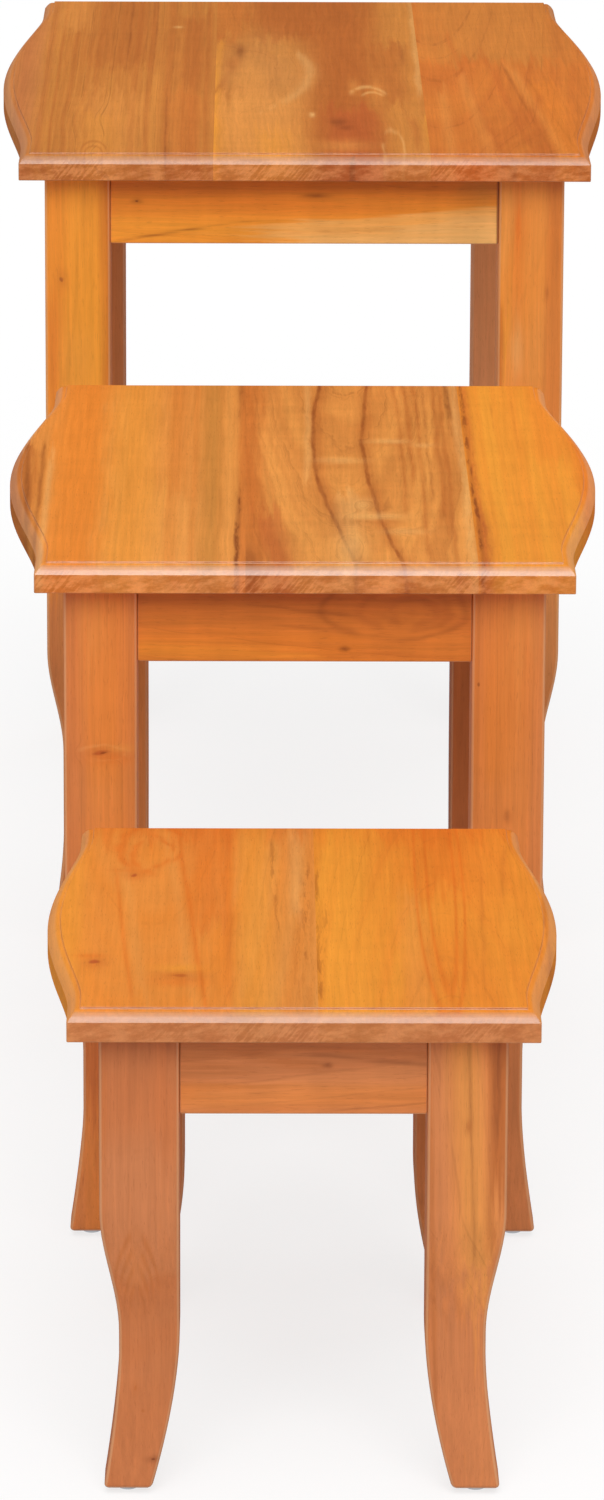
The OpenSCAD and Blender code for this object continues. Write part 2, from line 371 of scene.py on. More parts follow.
def moulded_slab(table, sizes):
    """One table's whole top: swelled sides, mitred bead and step, rounded corners and arrises."""
    low, high = table_box(table)
    slab = swelled_outline(table, sizes)
    flats = bead_flats(sizes)
    bead_foot = high.z - sizes.step_height - sum(rise for reach, rise in flats)
    edit(slab)
    bpy.ops.mesh.select_all(action="SELECT")
    extrude(z=bead_foot - low.z)
    bpy.ops.mesh.select_all(action="SELECT")
    bpy.ops.mesh.normals_make_consistent(inside=False)
    choose(slab, "FACE", lambda face: at_height(face, bead_foot) and face.normal.z > LEVEL)
    for reach, rise in flats:
        bpy.ops.mesh.inset(thickness=reach, depth=rise)
    bpy.ops.mesh.inset(thickness=sizes.step_width)
    extrude(z=sizes.step_height)
    choose(slab, "EDGE", rim_test(high.z, True))
    bpy.ops.mesh.bevel(offset=sizes.step_arris, segments=3, affect="EDGES")
    leave_edit()
    ease_edges(slab, sizes.outer_arris, segments=3)
    return slab


def saw(piece, across, keep_right):
    """Saws a piece along a glue line and keeps one side of the cut."""
    edit(piece)
    bpy.ops.mesh.select_all(action="SELECT")
    bpy.ops.mesh.bisect(plane_co=(across, 0, 0), plane_no=(1, 0, 0), use_fill=True,
                        clear_inner=keep_right, clear_outer=not keep_right)
    leave_edit()


class NEST_OT_tops(bpy.types.Operator):
    """Make the moulded tops, sawn along the glue lines into their boards"""
    bl_idname = "nest.tops"
    bl_label = "Add Tops"

    def execute(self, context):
        colours = context.scene.nest_colours
        for table in TABLES:
            slab = moulded_slab(table, context.scene.nest_tops)
            boards = TOP_BOARDS[table]
            for index, board in enumerate(boards):
                node = f"{table}_{board}"
                low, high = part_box(node)
                piece = copy_of(slab, f"{node}_moulded")
                if index > 0:
                    saw(piece, low.x, True)
                if index < len(boards) - 1:
                    saw(piece, high.x, False)
                finish_shading(piece)
                stand_for(piece, node, f"{table}_table",
                          board_wood(table, board, colours))
            bpy.data.objects.remove(slab)
        return {"FINISHED"}


# Legs

# How late and suddenly the outer and inner faces of a leg flare out towards the floor
FLARE_POWER = 1.5
HEEL_POWER = 1.7


def smooth_step(share):
    return share * share * (3 - 2 * share)


def clamp_share(low, high, value):
    """How far a value has come from low to high, kept between 0 and 1."""
    return min(1.0, max(0.0, (value - low) / (high - low)))


def outer_in(sizes, knee, foot, z):
    """How far the outer faces of a leg stand in from its corner at a height."""
    if z > sizes.ankle_height:
        return sizes.waist_in * smooth_step(1 - clamp_share(knee - sizes.bend_height, knee, z))
    flare = (1 - clamp_share(foot, sizes.ankle_height, z)) ** FLARE_POWER
    return sizes.waist_in - (sizes.waist_in - sizes.foot_in) * flare


def inner_in(sizes, width, foot, z):
    """How far the inner faces of a leg stand in from its corner at a height."""
    flare = (1 - clamp_share(foot, sizes.heel_height, z)) ** HEEL_POWER
    return width - sizes.heel_out * flare


def leg_heights(sizes, knee, foot):
    """Heights of the cuts along a leg, from the top down."""
    waist = knee - sizes.bend_height
    steps = sizes.bend_stations
    bend = [knee - (knee - waist) * index / steps for index in range(steps + 1)]
    flare = [sizes.heel_height - (sizes.heel_height - foot) * index / steps
             for index in range(steps + 1)]
    return bend + [z for z in flare if z < waist - TOLERANCE]


def carved_leg(table, sizes):
    """The front left leg, drawn down from its square top through the knee to the foot."""
    corner = leg_corner(table)
    low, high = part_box(f"{table}_front_left_leg")
    width = high.x - low.x
    knee = getattr(sizes, f"{table}_knee")
    foot = low.z
    leg = add_plane(f"{table}_leg", corner, corner + Vector((width, width, 0)), corner.z)
    edit(leg)
    bpy.ops.mesh.select_all(action="SELECT")
    outer, inner, height = 0.0, width, corner.z
    for z in leg_heights(sizes, knee, foot):
        new_outer = outer_in(sizes, knee, foot, z)
        new_inner = inner_in(sizes, width, foot, z)
        extrude(z=z - height)
        halfway = (outer + inner) / 2
        middle = corner + Vector((halfway, halfway, z - corner.z))
        share = (new_inner - new_outer) / (inner - outer)
        bpy.ops.transform.resize(value=(share, share, 1), center_override=middle)
        shift = (new_outer + new_inner - outer - inner) / 2
        bpy.ops.transform.translate(value=(shift, shift, 0))
        outer, inner, height = new_outer, new_inner, z
    leave_edit()
    recalculate(leg)
    ease_edges(leg, sizes.edge_radius, segments=4)
    return leg


class NEST_OT_legs(bpy.types.Operator):
    """Make one curved leg for each table, and stand a copy of it at every corner"""
    bl_idname = "nest.legs"
    bl_label = "Add Legs"

    def execute(self, context):
        colours = context.scene.nest_colours
        for table in TABLES:
            leg = carved_leg(table, context.scene.nest_legs)
            corner = leg_corner(table)
            for name, (quarter_turns, side, end) in LEG_CORNERS.items():
                node = f"{table}_{name}"
                low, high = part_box(node)
                place = Vector((low.x if side < 0 else high.x, low.y if end < 0 else high.y, 0))
                piece = copy_of(leg, f"{node}_carved")
                turn = Matrix.Rotation(quarter_turns * math.pi / 2, 4, "Z")
                start = Vector((corner.x, corner.y, 0))
                piece.matrix_world = Matrix.Translation(place) @ turn @ Matrix.Translation(-start)
                settle(piece)
                finish_shading(piece)
                stand_for(piece, node, f"{table}_table",
                          leg_wood(table, name, colours))
            bpy.data.objects.remove(leg)
        return {"FINISHED"}


# Rails

# A tongue takes this share of a button's thickness, counted from below
TONGUE_SHARE = 6 / 14


def loose_boxes(piece):
    """Boxes of the separate solids in a CAD node, found on a merged copy."""
    twin = copy_of(piece, "solids")
    twin.parent = None
    twin.matrix_world = Matrix.Identity(4)
    edit(twin)
    bpy.ops.mesh.select_all(action="SELECT")
    bpy.ops.mesh.remove_doubles(threshold=TOLERANCE)
    bpy.ops.mesh.separate(type="LOOSE")
    leave_edit()
    boxes = []
    for solid in list(bpy.context.selected_objects):
        boxes.append(box_round([vertex.co for vertex in solid.data.vertices]))
        bpy.data.objects.remove(solid)
    return boxes


def cut_grooves(rail, table, play):
    """Cuts the grooves for the tongues of the buttons into a rail."""
    rail_low, rail_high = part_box(rail.name.removesuffix("_planed"))
    room = Vector((play, play, play))
    for low, high in loose_boxes(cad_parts[f"{table}_top_buttons"]):
        touching = all(low[axis] < rail_high[axis] and high[axis] > rail_low[axis]
                       for axis in range(3))
        if touching:
            tongue_top = low.z + (high.z - low.z) * TONGUE_SHARE
            cutter = add_box("groove", low - room, Vector((high.x, high.y, tongue_top)) + room)
            apply_modifier(rail, "BOOLEAN", object=cutter, operation="DIFFERENCE", solver="EXACT")
            bpy.data.objects.remove(cutter)


class NEST_OT_aprons(bpy.types.Operator):
    """Make the rails between the legs, with their arrises and button grooves"""
    bl_idname = "nest.aprons"
    bl_label = "Add Rails"

    def execute(self, context):
        sizes = context.scene.nest_fittings
        colours = context.scene.nest_colours
        for table in TABLES:
            for name in APRONS:
                node = f"{table}_{name}"
                low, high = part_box(node)
                rail = add_box(f"{node}_planed", low, high)
                ease_edges(rail, sizes.apron_arris, segments=3)
                cut_grooves(rail, table, sizes.groove_play)
                finish_shading(rail)
                stand_for(rail, node, f"{table}_table",
                          apron_wood(table, name, colours))
        return {"FINISHED"}


# Glides and joinery

NAIL_RADIUS = 1.25 * MM
GLIDE_FACETS = 40
# Width of the ring round the middle of a sole, as a share of the glide's radius
SOLE_RING = 0.25


def domed_glide(name, middle, radius, height, nail_top, dome):
    """A pressed metal glide with a domed sole and a nail that holds it in the foot."""
    bpy.ops.object.select_all(action="DESELECT")
    bpy.ops.mesh.primitive_cylinder_add(vertices=GLIDE_FACETS, radius=radius, depth=height,
                                        location=(middle.x, middle.y, height / 2))
    glide = bpy.context.object
    glide.name = name
    settle(glide)
    edit(glide)
    choose(glide, "EDGE", rim_test(0.0, False))
    bpy.ops.mesh.bevel(offset=dome, segments=5, affect="EDGES")
    choose(glide, "FACE", lambda face: at_height(face, 0.0))
    bpy.ops.mesh.inset(thickness=radius * SOLE_RING)
    choose(glide, "FACE", lambda face: at_height(face, height))
    bpy.ops.mesh.inset(thickness=radius - NAIL_RADIUS)
    extrude(z=nail_top - height)
    leave_edit()
    return glide


class NEST_OT_glides(bpy.types.Operator):
    """Make the metal glides under the feet"""
    bl_idname = "nest.glides"
    bl_label = "Add Glides"

    def execute(self, context):
        metal = plated_metal("Nickel glide", context.scene.nest_colours.glide, roughness=0.34)
        dome = context.scene.nest_fittings.glide_dome
        for table in TABLES:
            node = f"{table}_foot_glides"
            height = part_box(f"{table}_front_left_leg")[0].z
            glides = []
            for low, high in loose_boxes(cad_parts[node]):
                radius = (high.x - low.x) / 2
                glides.append(domed_glide(f"{node}_domed", (low + high) / 2, radius, height,
                                          high.z, dome))
            only(glides[0])
            for glide in glides[1:]:
                glide.select_set(True)
            bpy.ops.object.join()
            finish_shading(glides[0])
            stand_for(glides[0], node, f"{table}_table", metal)
        return {"FINISHED"}


class NEST_OT_joinery(bpy.types.Operator):
    """Finish the glue blocks, buttons, dowels and screws under the tops"""
    bl_idname = "nest.joinery"
    bl_label = "Finish Joinery"

    def execute(self, context):
        colours = context.scene.nest_colours
        steel = plated_metal("Zinc screw", colours.steel, roughness=0.42)
        block = plain_wood("Block wood", colours.raw, colours.raw_dark)
        beech = plain_wood("Dowel wood", colours.dowel, colours.raw)
        finishes = {"corner_blocks": block, "top_buttons": block, "apron_dowels": beech,
                    "block_screws": steel, "button_screws": steel}
        for table in TABLES:
            for name, material in finishes.items():
                give_material(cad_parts[f"{table}_{name}"], material)
        return {"FINISHED"}


# Node trees

NUMBER = "NodeSocketFloat"
VECTOR = "NodeSocketVector"
WHITE = (1.0, 1.0, 1.0, 1.0)
# The middle of a noise, which runs from 0 to 1
MIDDLE = 0.5


class Desk:
    """Adds nodes to one material or node group, row by row, and wires them up."""

    columns = 12
    column_width = 190
    row_height = 260

    def __init__(self, tree):
        self.tree = tree

    def node(self, kind, sockets=None, **settings):
        row, column = divmod(len(self.tree.nodes), self.columns)
        node = self.tree.nodes.new(kind)
        node.location = (column * self.column_width, -row * self.row_height)
        for name, value in settings.items():
            setattr(node, name, value)
        for name, value in (sockets or {}).items():
            self.feed(node.inputs[name], value)
        return node

    def feed(self, socket, value):
        if isinstance(value, bpy.types.NodeSocket):
            self.tree.links.new(value, socket)
        else:
            socket.default_value = value

    def calc(self, operation, *values):
        node = self.node("ShaderNodeMath", operation=operation)
        for socket, value in zip(node.inputs, values):
            self.feed(socket, value)
        return node.outputs[0]

    def vector(self, operation, *values):
        node = self.node("ShaderNodeVectorMath", operation=operation)
        for socket, value in zip(node.inputs, values):
            self.feed(socket, value)
        return node.outputs[0]

    def ease(self, value, low, high):
        """Rises smoothly from 0 at low to 1 at high."""
        node = self.node("ShaderNodeMapRange", interpolation_type="SMOOTHSTEP")
        self.feed(node.inputs["Value"], value)
        self.feed(node.inputs["From Min"], low)
        self.feed(node.inputs["From Max"], high)
        return node.outputs["Result"]

    def split(self, vector):
        return self.node("ShaderNodeSeparateXYZ", {"Vector": vector}).outputs

    def join(self, x, y, z):
        return self.node("ShaderNodeCombineXYZ", {"X": x, "Y": y, "Z": z}).outputs["Vector"]

    def noise(self, place, scale=None, detail=2.0, roughness=0.5):
        """Cloudy noise from 0 to 1, squeezed by a scale along each axis."""
        if scale is not None:
            place = self.vector("MULTIPLY", place, scale)
        return self.node("ShaderNodeTexNoise", {"Vector": place, "Scale": 1.0, "Detail": detail,
                                                "Roughness": roughness}).outputs

    def noise_line(self, place, detail, roughness):
        """Noise from 0 to 1 along a line."""
        return self.node("ShaderNodeTexNoise", {"W": place, "Scale": 1.0, "Detail": detail,
                                                "Roughness": roughness},
                         noise_dimensions="1D").outputs["Fac"]

    def even(self, value):
        """The same number three times, as a grey or a plain vector."""
        return self.join(value, value, value)

    def squares(self, first, second):
        """The sum of the squares of two numbers."""
        return self.calc("ADD", self.calc("MULTIPLY", first, first),
                         self.calc("MULTIPLY", second, second))

    def fade(self, value):
        """1 where a value is 0, and falling away to 0 as it grows."""
        return self.calc("EXPONENT", self.calc("MULTIPLY", value, -1.0))

    def swing(self, base, noise, reach):
        """A base that noise moves up and down, by half the reach to each side."""
        return self.calc("MULTIPLY_ADD", self.calc("SUBTRACT", noise, MIDDLE), reach, base)

    def mix(self, share, first, second, blend="MIX"):
        node = self.node("ShaderNodeMix", data_type="RGBA", blend_type=blend)
        colours = [socket for socket in node.inputs if socket.type == "RGBA"]
        self.feed(node.inputs["Factor"], share)
        self.feed(colours[0], first)
        self.feed(colours[1], second)
        return next(socket for socket in node.outputs if socket.type == "RGBA")

    def tinted(self, shade, mask, strength, tint):
        """A shade with another colour laid over it where a mask says."""
        return self.mix(self.calc("MULTIPLY", mask, strength), shade, tint)

    def group(self, name, sockets):
        return self.node("ShaderNodeGroup", sockets, node_tree=bpy.data.node_groups[name]).outputs


def new_group(name, inputs, outputs):
    """A node group with named sockets, its desk and its inputs. An input is given by its value,
    or by None for a vector, and an output by its kind."""
    group = bpy.data.node_groups.new(name, "ShaderNodeTree")
    for label, value in inputs.items():
        kind = VECTOR if value is None else NUMBER
        socket = group.interface.new_socket(name=label, in_out="INPUT", socket_type=kind)
        if value is not None:
            socket.default_value = value
    for label, kind in outputs.items():
        group.interface.new_socket(name=label, in_out="OUTPUT", socket_type=kind)
    desk = Desk(group)
    return desk, desk.node("NodeGroupInput").outputs


# How far one step of the seed moves the figure through the noise
SEED_STEP = 1.37
# How quickly the rings wander along the grain, as a share of how quickly they do across it
WANDER_ALONG = 0.3
# Steps of noise in the width of a ring, for the broad bands and for the fine lines
BAND_RATE = 0.45
LINE_RATE = 1.6


def growth_rings_group():
    """Growth rings round a leaning pith, which wander and give way round knots."""
    desk, given = new_group(
        "Growth rings",
        {"Place": None, "Pith across": 0.05, "Pith depth": -0.08, "Pith lean": 0.0,
         "Ring width": 0.005, "Wander": 0.006, "Wander length": 0.09, "Pull": 0.0, "Seed": 0.0},
        {"Rings": NUMBER, "Lines": NUMBER, "Drift": NUMBER, "Place": VECTOR})
    seed = desk.calc("MULTIPLY", given["Seed"], SEED_STEP)
    short = desk.calc("DIVIDE", 1.0, given["Wander length"])
    long = desk.calc("MULTIPLY", short, WANDER_ALONG)
    scaled = desk.vector("MULTIPLY", given["Place"], desk.join(short, long, short))
    slow = desk.noise(desk.vector("ADD", scaled, desk.even(seed)), detail=5.0, roughness=0.62)
    sway = desk.vector("SUBTRACT", slow["Color"], (MIDDLE, MIDDLE, MIDDLE))
    twice = desk.calc("MULTIPLY", given["Wander"], 2.0)
    sway = desk.vector("MULTIPLY", sway, desk.join(twice, 0.0, twice))
    wandered = desk.vector("ADD", given["Place"], sway)
    across, along, depth = desk.split(wandered)
    across = desk.calc("SUBTRACT", across, given["Pith across"])
    depth = desk.calc("SUBTRACT", depth, given["Pith depth"])
    depth = desk.calc("SUBTRACT", depth, desk.calc("MULTIPLY", along, given["Pith lean"]))
    radius = desk.calc("ADD", desk.calc("SQRT", desk.squares(across, depth)), given["Pull"])
    year = desk.calc("ADD", desk.calc("DIVIDE", radius, given["Ring width"]), seed)
    bands = desk.noise_line(desk.calc("MULTIPLY", year, BAND_RATE), detail=2.0, roughness=0.6)
    lines = desk.noise_line(desk.calc("MULTIPLY", year, LINE_RATE), detail=3.0, roughness=0.7)
    desk.node("NodeGroupOutput", {
        "Rings": desk.ease(bands, 0.3, 0.7), "Lines": desk.ease(lines, 0.56, 0.74),
        "Drift": slow["Fac"], "Place": wandered})


# Steps of noise in a metre across, along and into the wood
PORE_SCALE = (1900.0, 130.0, 1900.0)
GRIT_SCALE = (260.0, 26.0, 260.0)
RIPPLE_SCALE = 18.0


def fibre_group():
    """Fine fibres and open pores along the grain, and faint ripples across it."""
    desk, given = new_group(
        "Fibre and pores",
        {"Place": None, "Fibre width": 0.0026, "Fibre length": 0.11, "Fray width": 0.006,
         "Fray length": 0.11, "Ripple length": 0.02},
        {"Fibre": NUMBER, "Fray": NUMBER, "Pores": NUMBER, "Grit": NUMBER, "Ripple": NUMBER})
    place = given["Place"]
    thin = desk.calc("DIVIDE", 1.0, given["Fibre width"])
    long = desk.calc("DIVIDE", 1.0, given["Fibre length"])
    fibre = desk.noise(place, desk.join(thin, long, thin), detail=4.0, roughness=0.68)["Fac"]
    thick = desk.calc("DIVIDE", 1.0, given["Fray width"])
    reach = desk.calc("DIVIDE", 1.0, given["Fray length"])
    fray = desk.noise(place, desk.join(thick, reach, thick), detail=3.0, roughness=0.6)["Fac"]
    pores = desk.noise(place, PORE_SCALE, detail=1.0)["Fac"]
    grit = desk.noise(place, GRIT_SCALE, detail=3.0, roughness=0.7)["Fac"]
    swift = desk.calc("DIVIDE", 1.0, given["Ripple length"])
    ripple = desk.noise(place, desk.join(RIPPLE_SCALE, swift, RIPPLE_SCALE))["Fac"]
    desk.node("NodeGroupOutput", {
        "Fibre": fibre, "Fray": desk.calc("SUBTRACT", fray, MIDDLE),
        "Pores": desk.ease(pores, 0.63, 0.72), "Grit": desk.ease(grit, 0.44, 0.6),
        "Ripple": ripple})


# In metres: over how much of its length a streak fades out, and how far a fray of 1 moves its end
STREAK_FADE = 0.06
FRAYED_END = 0.22


def streak_group():
    """A streak along the grain with frayed edges, which may lean, bow, end or break up."""
    desk, given = new_group(
        "Grain streak",
        {"Place": None, "Fray": 0.0, "Grit": 1.0, "Across": 0.0, "Width": 0.002, "Lean": 0.0,
         "Bow": 0.0, "From": -1.0, "To": 1.0, "Hardness": 2.0, "Speckle": 0.0},
        {"Mask": NUMBER})
    across, along = desk.split(given["Place"])[:2]
    slope = desk.calc("ADD", given["Lean"], desk.calc("MULTIPLY", given["Bow"], along))
    centre = desk.calc("ADD", given["Across"], desk.calc("MULTIPLY", along, slope))
    away = desk.calc("ABSOLUTE", desk.calc("SUBTRACT", across, centre))
    away = desk.calc("ADD", desk.calc("DIVIDE", away, given["Width"]), given["Fray"])
    away = desk.calc("POWER", desk.calc("MAXIMUM", away, 0.0), given["Hardness"])
    body = desk.fade(away)
    along = desk.calc("MULTIPLY_ADD", given["Fray"], FRAYED_END, along)
    starts = desk.ease(along, given["From"], desk.calc("ADD", given["From"], STREAK_FADE))
    stops = desk.ease(along, given["To"], desk.calc("SUBTRACT", given["To"], STREAK_FADE))
    body = desk.calc("MULTIPLY", body, desk.calc("MULTIPLY", starts, stops))
    broken = desk.calc("MULTIPLY", given["Speckle"], desk.calc("SUBTRACT", given["Grit"], 1.0))
    desk.node("NodeGroupOutput", {
        "Mask": desk.calc("MULTIPLY", body, desk.calc("ADD", broken, 1.0))})


# How far each metre across the wood moves a knot through the noise
KNOT_SEED_STEP = 71.0
# How whole a round halo is, and how that changes with the crook, which leaves gaps in it
HALO_WHOLE = 0.28
HALO_GAPS = -0.4
# In knot lengths: where a halo starts to show, how much further on an arch does, and how long
# either takes to show fully
HALO_START = -3.0
ARCH_DELAY = 2.9
START_LENGTH = 0.8


def knot_group():
    """A knot or swirl, or a painted shadow spot: its heart, the halo round it, its glow and its
    pull on the rings.
    """
    desk, given = new_group(
        "Knot",
        {"Place": None, "Across": 0.0, "Along": 0.0, "Width": 0.01, "Length": 0.02,
         "Halo width": 0.2, "Hardness": 1.0, "Crook": 0.7, "Arch": 0.0, "Pull": 0.0},
        {"Heart": NUMBER, "Halo": NUMBER, "Glow": NUMBER, "Pull": NUMBER})
    across, along = desk.split(given["Place"])[:2]
    side = desk.calc("DIVIDE", desk.calc("SUBTRACT", across, given["Across"]), given["Width"])
    run = desk.calc("DIVIDE", desk.calc("SUBTRACT", along, given["Along"]), given["Length"])
    seed = desk.calc("MULTIPLY", given["Across"], KNOT_SEED_STEP)
    crooked = desk.noise(desk.join(side, run, seed), detail=1.5)["Color"]
    bend = desk.vector("SUBTRACT", crooked, (MIDDLE, MIDDLE, MIDDLE))
    side_bend, run_bend, gap = desk.split(bend)
    bent_side = desk.calc("MULTIPLY_ADD", side_bend, given["Crook"], side)
    bent_run = desk.calc("MULTIPLY_ADD", run_bend, given["Crook"], run)
    square = desk.squares(bent_side, bent_run)
    away = desk.calc("SQRT", square)
    ring = desk.calc("DIVIDE", desk.calc("SUBTRACT", away, 1.0), given["Halo width"])
    ring = desk.fade(desk.calc("MULTIPLY", ring, ring))
    whole = desk.calc("MULTIPLY_ADD", given["Crook"], HALO_GAPS, HALO_WHOLE)
    unbroken = desk.ease(desk.calc("ADD", gap, whole), -0.12, 0.1)
    start = desk.calc("MULTIPLY_ADD", given["Arch"], ARCH_DELAY, HALO_START)
    arch = desk.ease(bent_run, start, desk.calc("ADD", start, START_LENGTH))
    pull = desk.fade(desk.squares(side, run))
    desk.node("NodeGroupOutput", {
        "Heart": desk.ease(away, 0.42, 0.12),
        "Halo": desk.calc("MULTIPLY", ring, desk.calc("MULTIPLY", unbroken, arch)),
        "Glow": desk.fade(desk.calc("POWER", square, given["Hardness"])),
        "Pull": desk.calc("MULTIPLY", pull, given["Pull"])})


# Roughness of the lacquer on plain wood, and what fibres and pores add to it
SATIN_ROUGHNESS = 0.4
FIBRE_ROUGHNESS = 0.16
PORE_ROUGHNESS = 0.1
# Relief of the fibres and of the pores under the lacquer
FIBRE_HEIGHT = 0.5
PORE_HEIGHT = -0.8
# Lacquer that pools on every rounded edge, and what edges towards the end grain have besides
SIDE_POOL = 0.25
END_POOL = 0.75


def lacquer_group():
    """Clear lacquer: rubbed satin on flat faces, thick and glossy on rounded edges."""
    desk, given = new_group(
        "Satin lacquer",
        {"Normal": None, "Toward end": 1.0, "Fibre": 0.5, "Pores": 0.0, "Flat coat": 0.15,
         "Edge coat": 0.4},
        {"Arris": NUMBER, "Pool": NUMBER, "Roughness": NUMBER, "Coat": NUMBER, "Height": NUMBER})
    facing = desk.split(desk.vector("ABSOLUTE", given["Normal"]))
    most = desk.calc("MAXIMUM", desk.calc("MAXIMUM", facing[0], facing[1]), facing[2])
    arris = desk.ease(most, 0.97, 0.84)
    endward = desk.ease(given["Toward end"], 0.15, 0.5)
    pool = desk.calc("MULTIPLY", arris, desk.calc("MULTIPLY_ADD", endward, END_POOL, SIDE_POOL))
    rough = desk.calc("MULTIPLY_ADD", given["Fibre"], FIBRE_ROUGHNESS, SATIN_ROUGHNESS)
    spare = desk.calc("SUBTRACT", given["Edge coat"], given["Flat coat"])
    dips = desk.calc("MULTIPLY", given["Pores"], PORE_HEIGHT)
    desk.node("NodeGroupOutput", {
        "Arris": arris, "Pool": pool,
        "Roughness": desk.calc("MULTIPLY_ADD", given["Pores"], PORE_ROUGHNESS, rough),
        "Coat": desk.calc("MULTIPLY_ADD", pool, spare, given["Flat coat"]),
        "Height": desk.calc("MULTIPLY_ADD", given["Fibre"], FIBRE_HEIGHT, dips)})


# Steps of noise in a metre across, along and into a board, on its cut end
CLOUD_SCALE = (60.0, 1.0, 150.0)
FLECK_SCALE = (380.0, 1.0, 70.0)
PATCH_SCALE = (16.0, 0.0, 16.0)
# Slant of the flecks, and their strength in the patches where they lie
FLECK_SLANT = -0.8
FLECK_STRENGTH = 0.75


def end_grain_group():
    """The mottled ends of the fibres, where a board or rail is cut across."""
    desk, given = new_group("End grain", {"Place": None, "Toward end": 0.0},
                            {"Mask": NUMBER, "Mottle": NUMBER})
    place = desk.split(given["Place"])
    slanted = desk.calc("MULTIPLY_ADD", place["Z"], FLECK_SLANT, place["X"])
    cut_face = desk.join(slanted, 0.0, place["Z"])
    cloud = desk.noise(cut_face, CLOUD_SCALE, detail=4.0, roughness=0.65)["Fac"]
    fleck = desk.noise(cut_face, FLECK_SCALE, detail=2.0, roughness=0.6)["Fac"]
    patch = desk.noise(given["Place"], PATCH_SCALE, detail=1.0)["Fac"]
    flecked = desk.calc("MULTIPLY", desk.ease(patch, 0.5, 0.62), FLECK_STRENGTH)
    mottle = desk.swing(cloud, fleck, flecked)
    desk.node("NodeGroupOutput", {
        "Mask": desk.ease(given["Toward end"], 0.55, 0.9),
        "Mottle": desk.ease(mottle, 0.37, 0.63)})


class NEST_OT_finishes(bpy.types.Operator):
    """Build the shared node groups of the wood and its lacquer"""
    bl_idname = "nest.finishes"
    bl_label = "Mix Finishes"

    def execute(self, context):
        growth_rings_group()
        fibre_group()
        streak_group()
        knot_group()
        lacquer_group()
        end_grain_group()
        return {"FINISHED"}


# Wood

class Streak(NamedTuple):
    """A streak of another colour, in millimetres from the middle of its table or piece."""
    tint: str
    strength: float
    across: float
    width: float
    lean: float = 0.0
    bow: float = 0.0
    start: float = -500.0
    end: float = 500.0
    hardness: float = 2.0
    speckle: float = 0.0


class Knot(NamedTuple):
    """A knot or swirl, or a painted shadow in a gap, in millimetres from the middle of its table or
    piece.
    """
    across: float
    along: float
    width: float
    length: float
    heart: float = 0.0
    halo: float = 0.0
    glow: float = 0.0
    tint: str = "umber"
    halo_tint: str = "cream"
    halo_width: float = 0.2
    hardness: float = 1.0
    crook: float = 0.7
    arch: float = 0.0
    pull: float = 0.0


class Look(NamedTuple):
    """The figure of one piece of wood."""
    pale: str
    deep: str
    pith: tuple = (60.0, -90.0)
    lean: float = 0.0
    ring: float = 5.0
    contrast: float = 0.5
    lines: float = 0.3
    wander: float = 5.0
    wander_length: float = 90.0
    ripple: float = 0.05
    fibre: float = 0.24
    end_stain: float = 0.5
    end_flecks: float = 1.0
    seed: float = 0.0
    streaks: tuple = ()
    knots: tuple = ()


